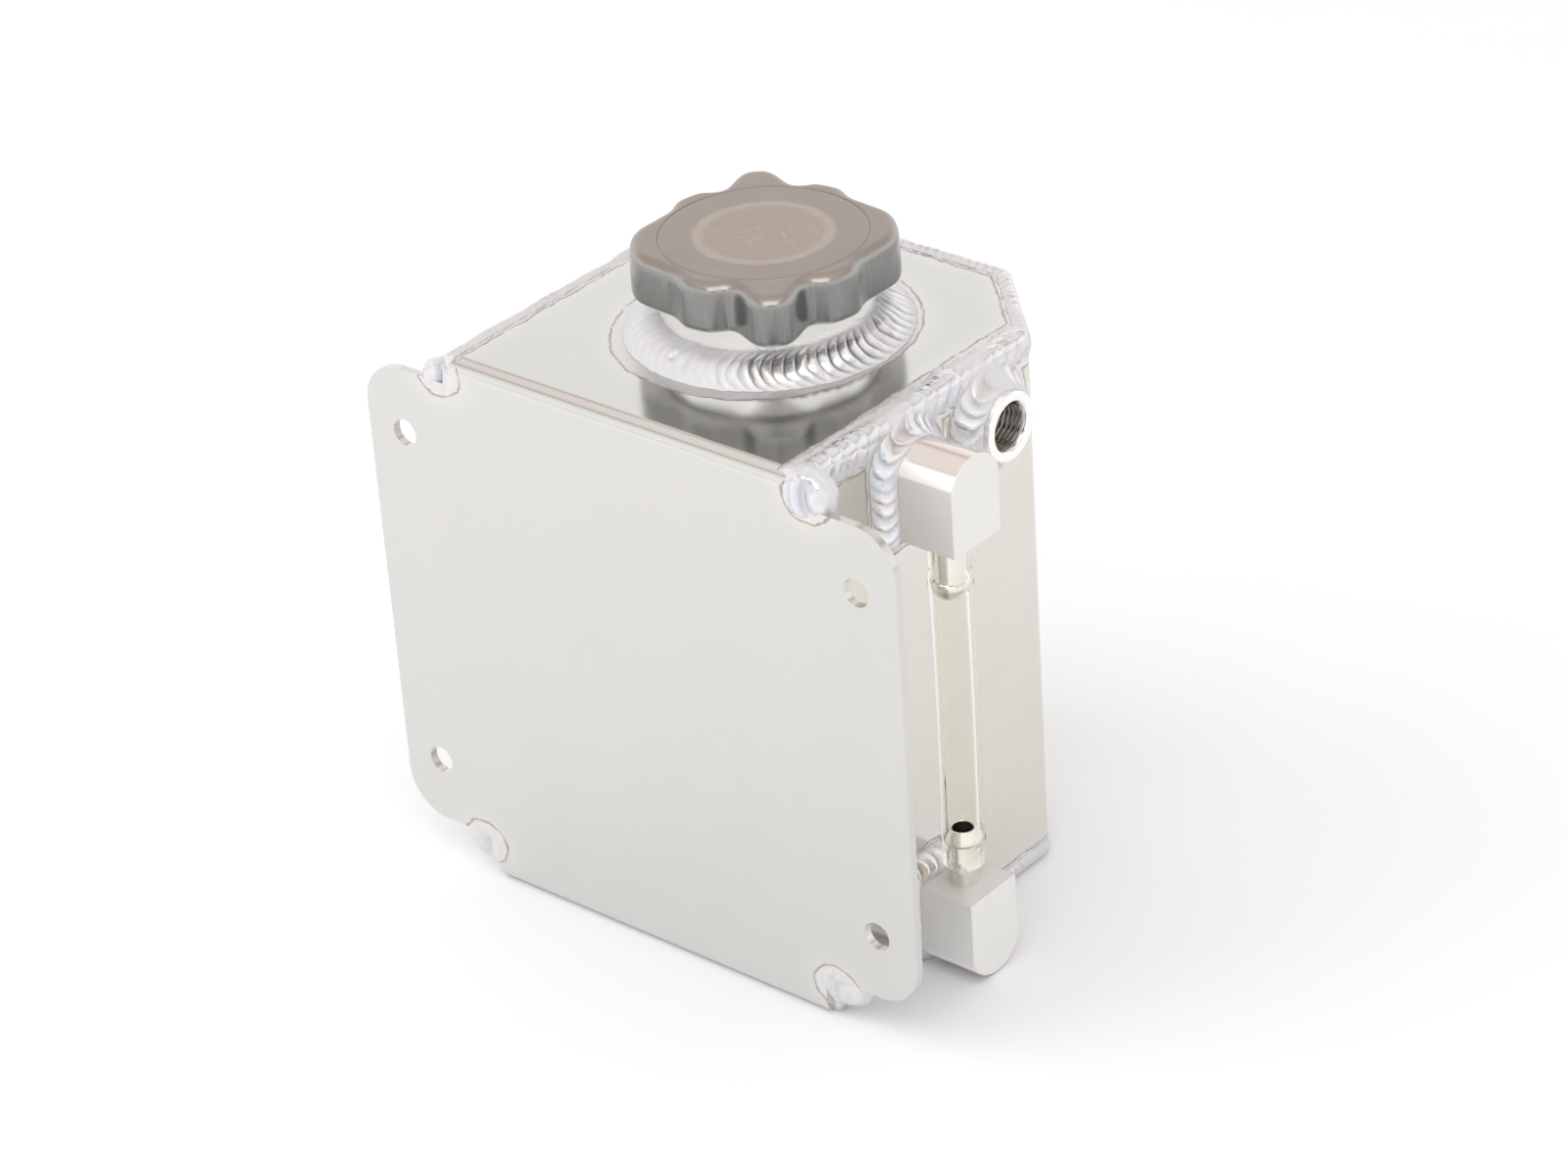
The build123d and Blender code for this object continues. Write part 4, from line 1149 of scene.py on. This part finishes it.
def make_world():
    world = bpy.data.worlds.new("studio")
    scene.world = world
    world.use_nodes = True
    graph = Graph(world.node_tree)
    way = graph.node("TexCoord").outputs["Generated"]
    ramp = graph.node("ValToRGB", Fac=graph.node("SeparateXYZ", Vector=way).outputs["Z"])
    bands = ramp.color_ramp.elements
    for band, (position, colour) in zip(bands, (WORLD_BANDS[0], WORLD_BANDS[-1])):
        band.position = position
        band.color = (*colour, 1)
    for position, colour in WORLD_BANDS[1:-1]:
        bands.new(position).color = (*colour, 1)
    # a dim bluish patch where the photographer stands
    toward = graph.node("VectorMath")
    toward.operation = "DOT_PRODUCT"
    graph.put(toward.inputs[0], way)
    graph.put(toward.inputs[1], TO_PHOTOGRAPHER)
    outer, inner = [math.cos(math.radians(angle)) for angle in PATCH_ANGLES]
    patch = graph.step(toward.outputs["Value"], outer, inner)
    shade = graph.mix(patch, ramp.outputs["Color"], PATCH_COLOUR)
    back = graph.node("Background", Color=shade, Strength=WORLD_STRENGTH)
    graph.node("OutputWorld", Surface=back.outputs[0])


def area_light(name, where, target, size, power):
    lamp = bpy.data.lights.new(name, "AREA")
    lamp.shape = "RECTANGLE"
    lamp.size = size[0]
    lamp.size_y = size[1]
    lamp.energy = power
    obj = bpy.data.objects.new(name, lamp)
    scene.collection.objects.link(obj)
    obj.location = where
    direction = Vector(target) - Vector(where)
    obj.rotation_euler = direction.to_track_quat("-Z", "Y").to_euler()
    return obj


def make_floor():
    count = 48
    verts = [(0, 0, BOTTOM_Z * MM)]
    for r in FLOOR_RADII[1:]:
        for k in range(count):
            a = 2 * math.pi * k / count
            verts.append((r * math.cos(a), r * math.sin(a), BOTTOM_Z * MM))
    faces = [(0, 1 + k, 1 + (k + 1) % count) for k in range(count)]
    for i in range(len(FLOOR_RADII) - 2):
        a = 1 + i * count
        b = a + count
        for k in range(count):
            n = (k + 1) % count
            faces.append((a + k, b + k, b + n, a + n))
    mesh = bpy.data.meshes.new("floor")
    mesh.from_pydata(verts, [], faces)
    floor = bpy.data.objects.new("floor", mesh)
    scene.collection.objects.link(floor)
    look = Look("floor_card")
    cloud = look.noise(0.01, 2.0, 0.5)
    colour = look.mix(cloud, (0.868, 0.879, 0.897), (0.883, 0.894, 0.912))
    dress(floor, look.finish(colour, 0.75, 0.0))


def make_camera():
    azimuth, elevation, roll = [math.radians(angle) for angle in CAMERA_TURN]
    back = Vector((math.sin(azimuth) * math.cos(elevation), -math.cos(azimuth) * math.cos(elevation),
                   math.sin(elevation)))
    right = Vector((math.cos(azimuth), math.sin(azimuth), 0))
    up = back.cross(right)
    side = right * math.cos(roll) + up * math.sin(roll)
    rise = up * math.cos(roll) - right * math.sin(roll)
    data = bpy.data.cameras.new("camera")
    data.sensor_fit = "HORIZONTAL"
    data.sensor_width = CAMERA_SENSOR
    data.lens = CAMERA_LENS
    data.clip_start = 0.01
    data.clip_end = 50.0
    camera = bpy.data.objects.new("camera", data)
    scene.collection.objects.link(camera)
    turn = Matrix((side, rise, back)).transposed().to_4x4()
    camera.matrix_world = Matrix.Translation(CAMERA_AT) @ turn
    scene.camera = camera


welds = make_welds()
lumps = make_lumps()
neck = make_neck()
bungs = [
    make_bung("vent_port_bung", 1, VENT, ["vent_bung"]),
    make_bung("feed_port_bung", -1, FEED, ["feed_bung"])]
barbs = [
    make_barb("upper_barb", UPPER_BLOCK_Z, -1, ["upper_hose_barb"]),
    make_barb("lower_barb", LOWER_BLOCK_Z, 1, ["lower_hose_barb"])]
blocks = [
    make_block("upper_bar", UPPER_BLOCK_Z, 1, ["upper_sight_block"]),
    make_block("lower_bar", LOWER_BLOCK_Z, -1, ["lower_sight_block"])]
tube = make_tube()
cap = make_cap()
disc = make_disc()

seals = ("cap_gasket", "housing_oring", "pressure_valve_seal", "vacuum_valve_seal")
steel_parts = (
    "cap_pivot_rivet", "pressure_spring", "vacuum_spring", "pressure_valve_plate", "vacuum_valve_poppet")
dressed = (
    (weld_look(), [*welds.values(), *lumps.values()]),
    (sheet_look("mill_sheet_front", wrap_toes, (0.695, 0.69, 0.67), (0.665, 0.66, 0.645)),
     [nodes["front_wrap_sheet"]]),
    (sheet_look("mill_sheet_wall", wall_toes, (0.77, 0.753, 0.712), (0.73, 0.708, 0.662)),
     [nodes["side_and_back_sheet"]]),
    (turned_look(), [neck, *bungs]),
    (bar_look(), blocks),
    (barb_look(), barbs),
    (tube_look(), [tube]),
    (cap_look(), [cap, disc]),
    (plain_look("black_rubber", 2.5, 0.7, (0.018, 0.018, 0.019), (0.035, 0.034, 0.034), 0.0, 0.2, 0.5, 0.2),
     [nodes[name] for name in seals]),
    (plain_look("black_plastic", 1.2, 0.6, (0.02, 0.02, 0.021), (0.03, 0.03, 0.032), 0.0, 0.15, 0.3, 0.1),
     [nodes["valve_housing"]]),
    (plain_look("spring_steel", 0.6, 0.6, (0.50, 0.50, 0.50), (0.62, 0.615, 0.60), 1.0, 0.15, 0.16, 0.1),
     [nodes[name] for name in steel_parts]))
for material, pieces in dressed:
    for piece in pieces:
        dress(piece, material)

make_world()
key = area_light("key", (-0.9, -0.9, 1.0), LIGHTS_AIM, (1.3, 1.3), 7.5)
key.visible_glossy = False
area_light("sparkle", (0.55, -0.75, 1.45), LIGHTS_AIM, (1.3, 1.3), 6.0)
make_floor()
make_camera()
scene.view_settings.view_transform = "Standard"
scene.view_settings.look = "None"
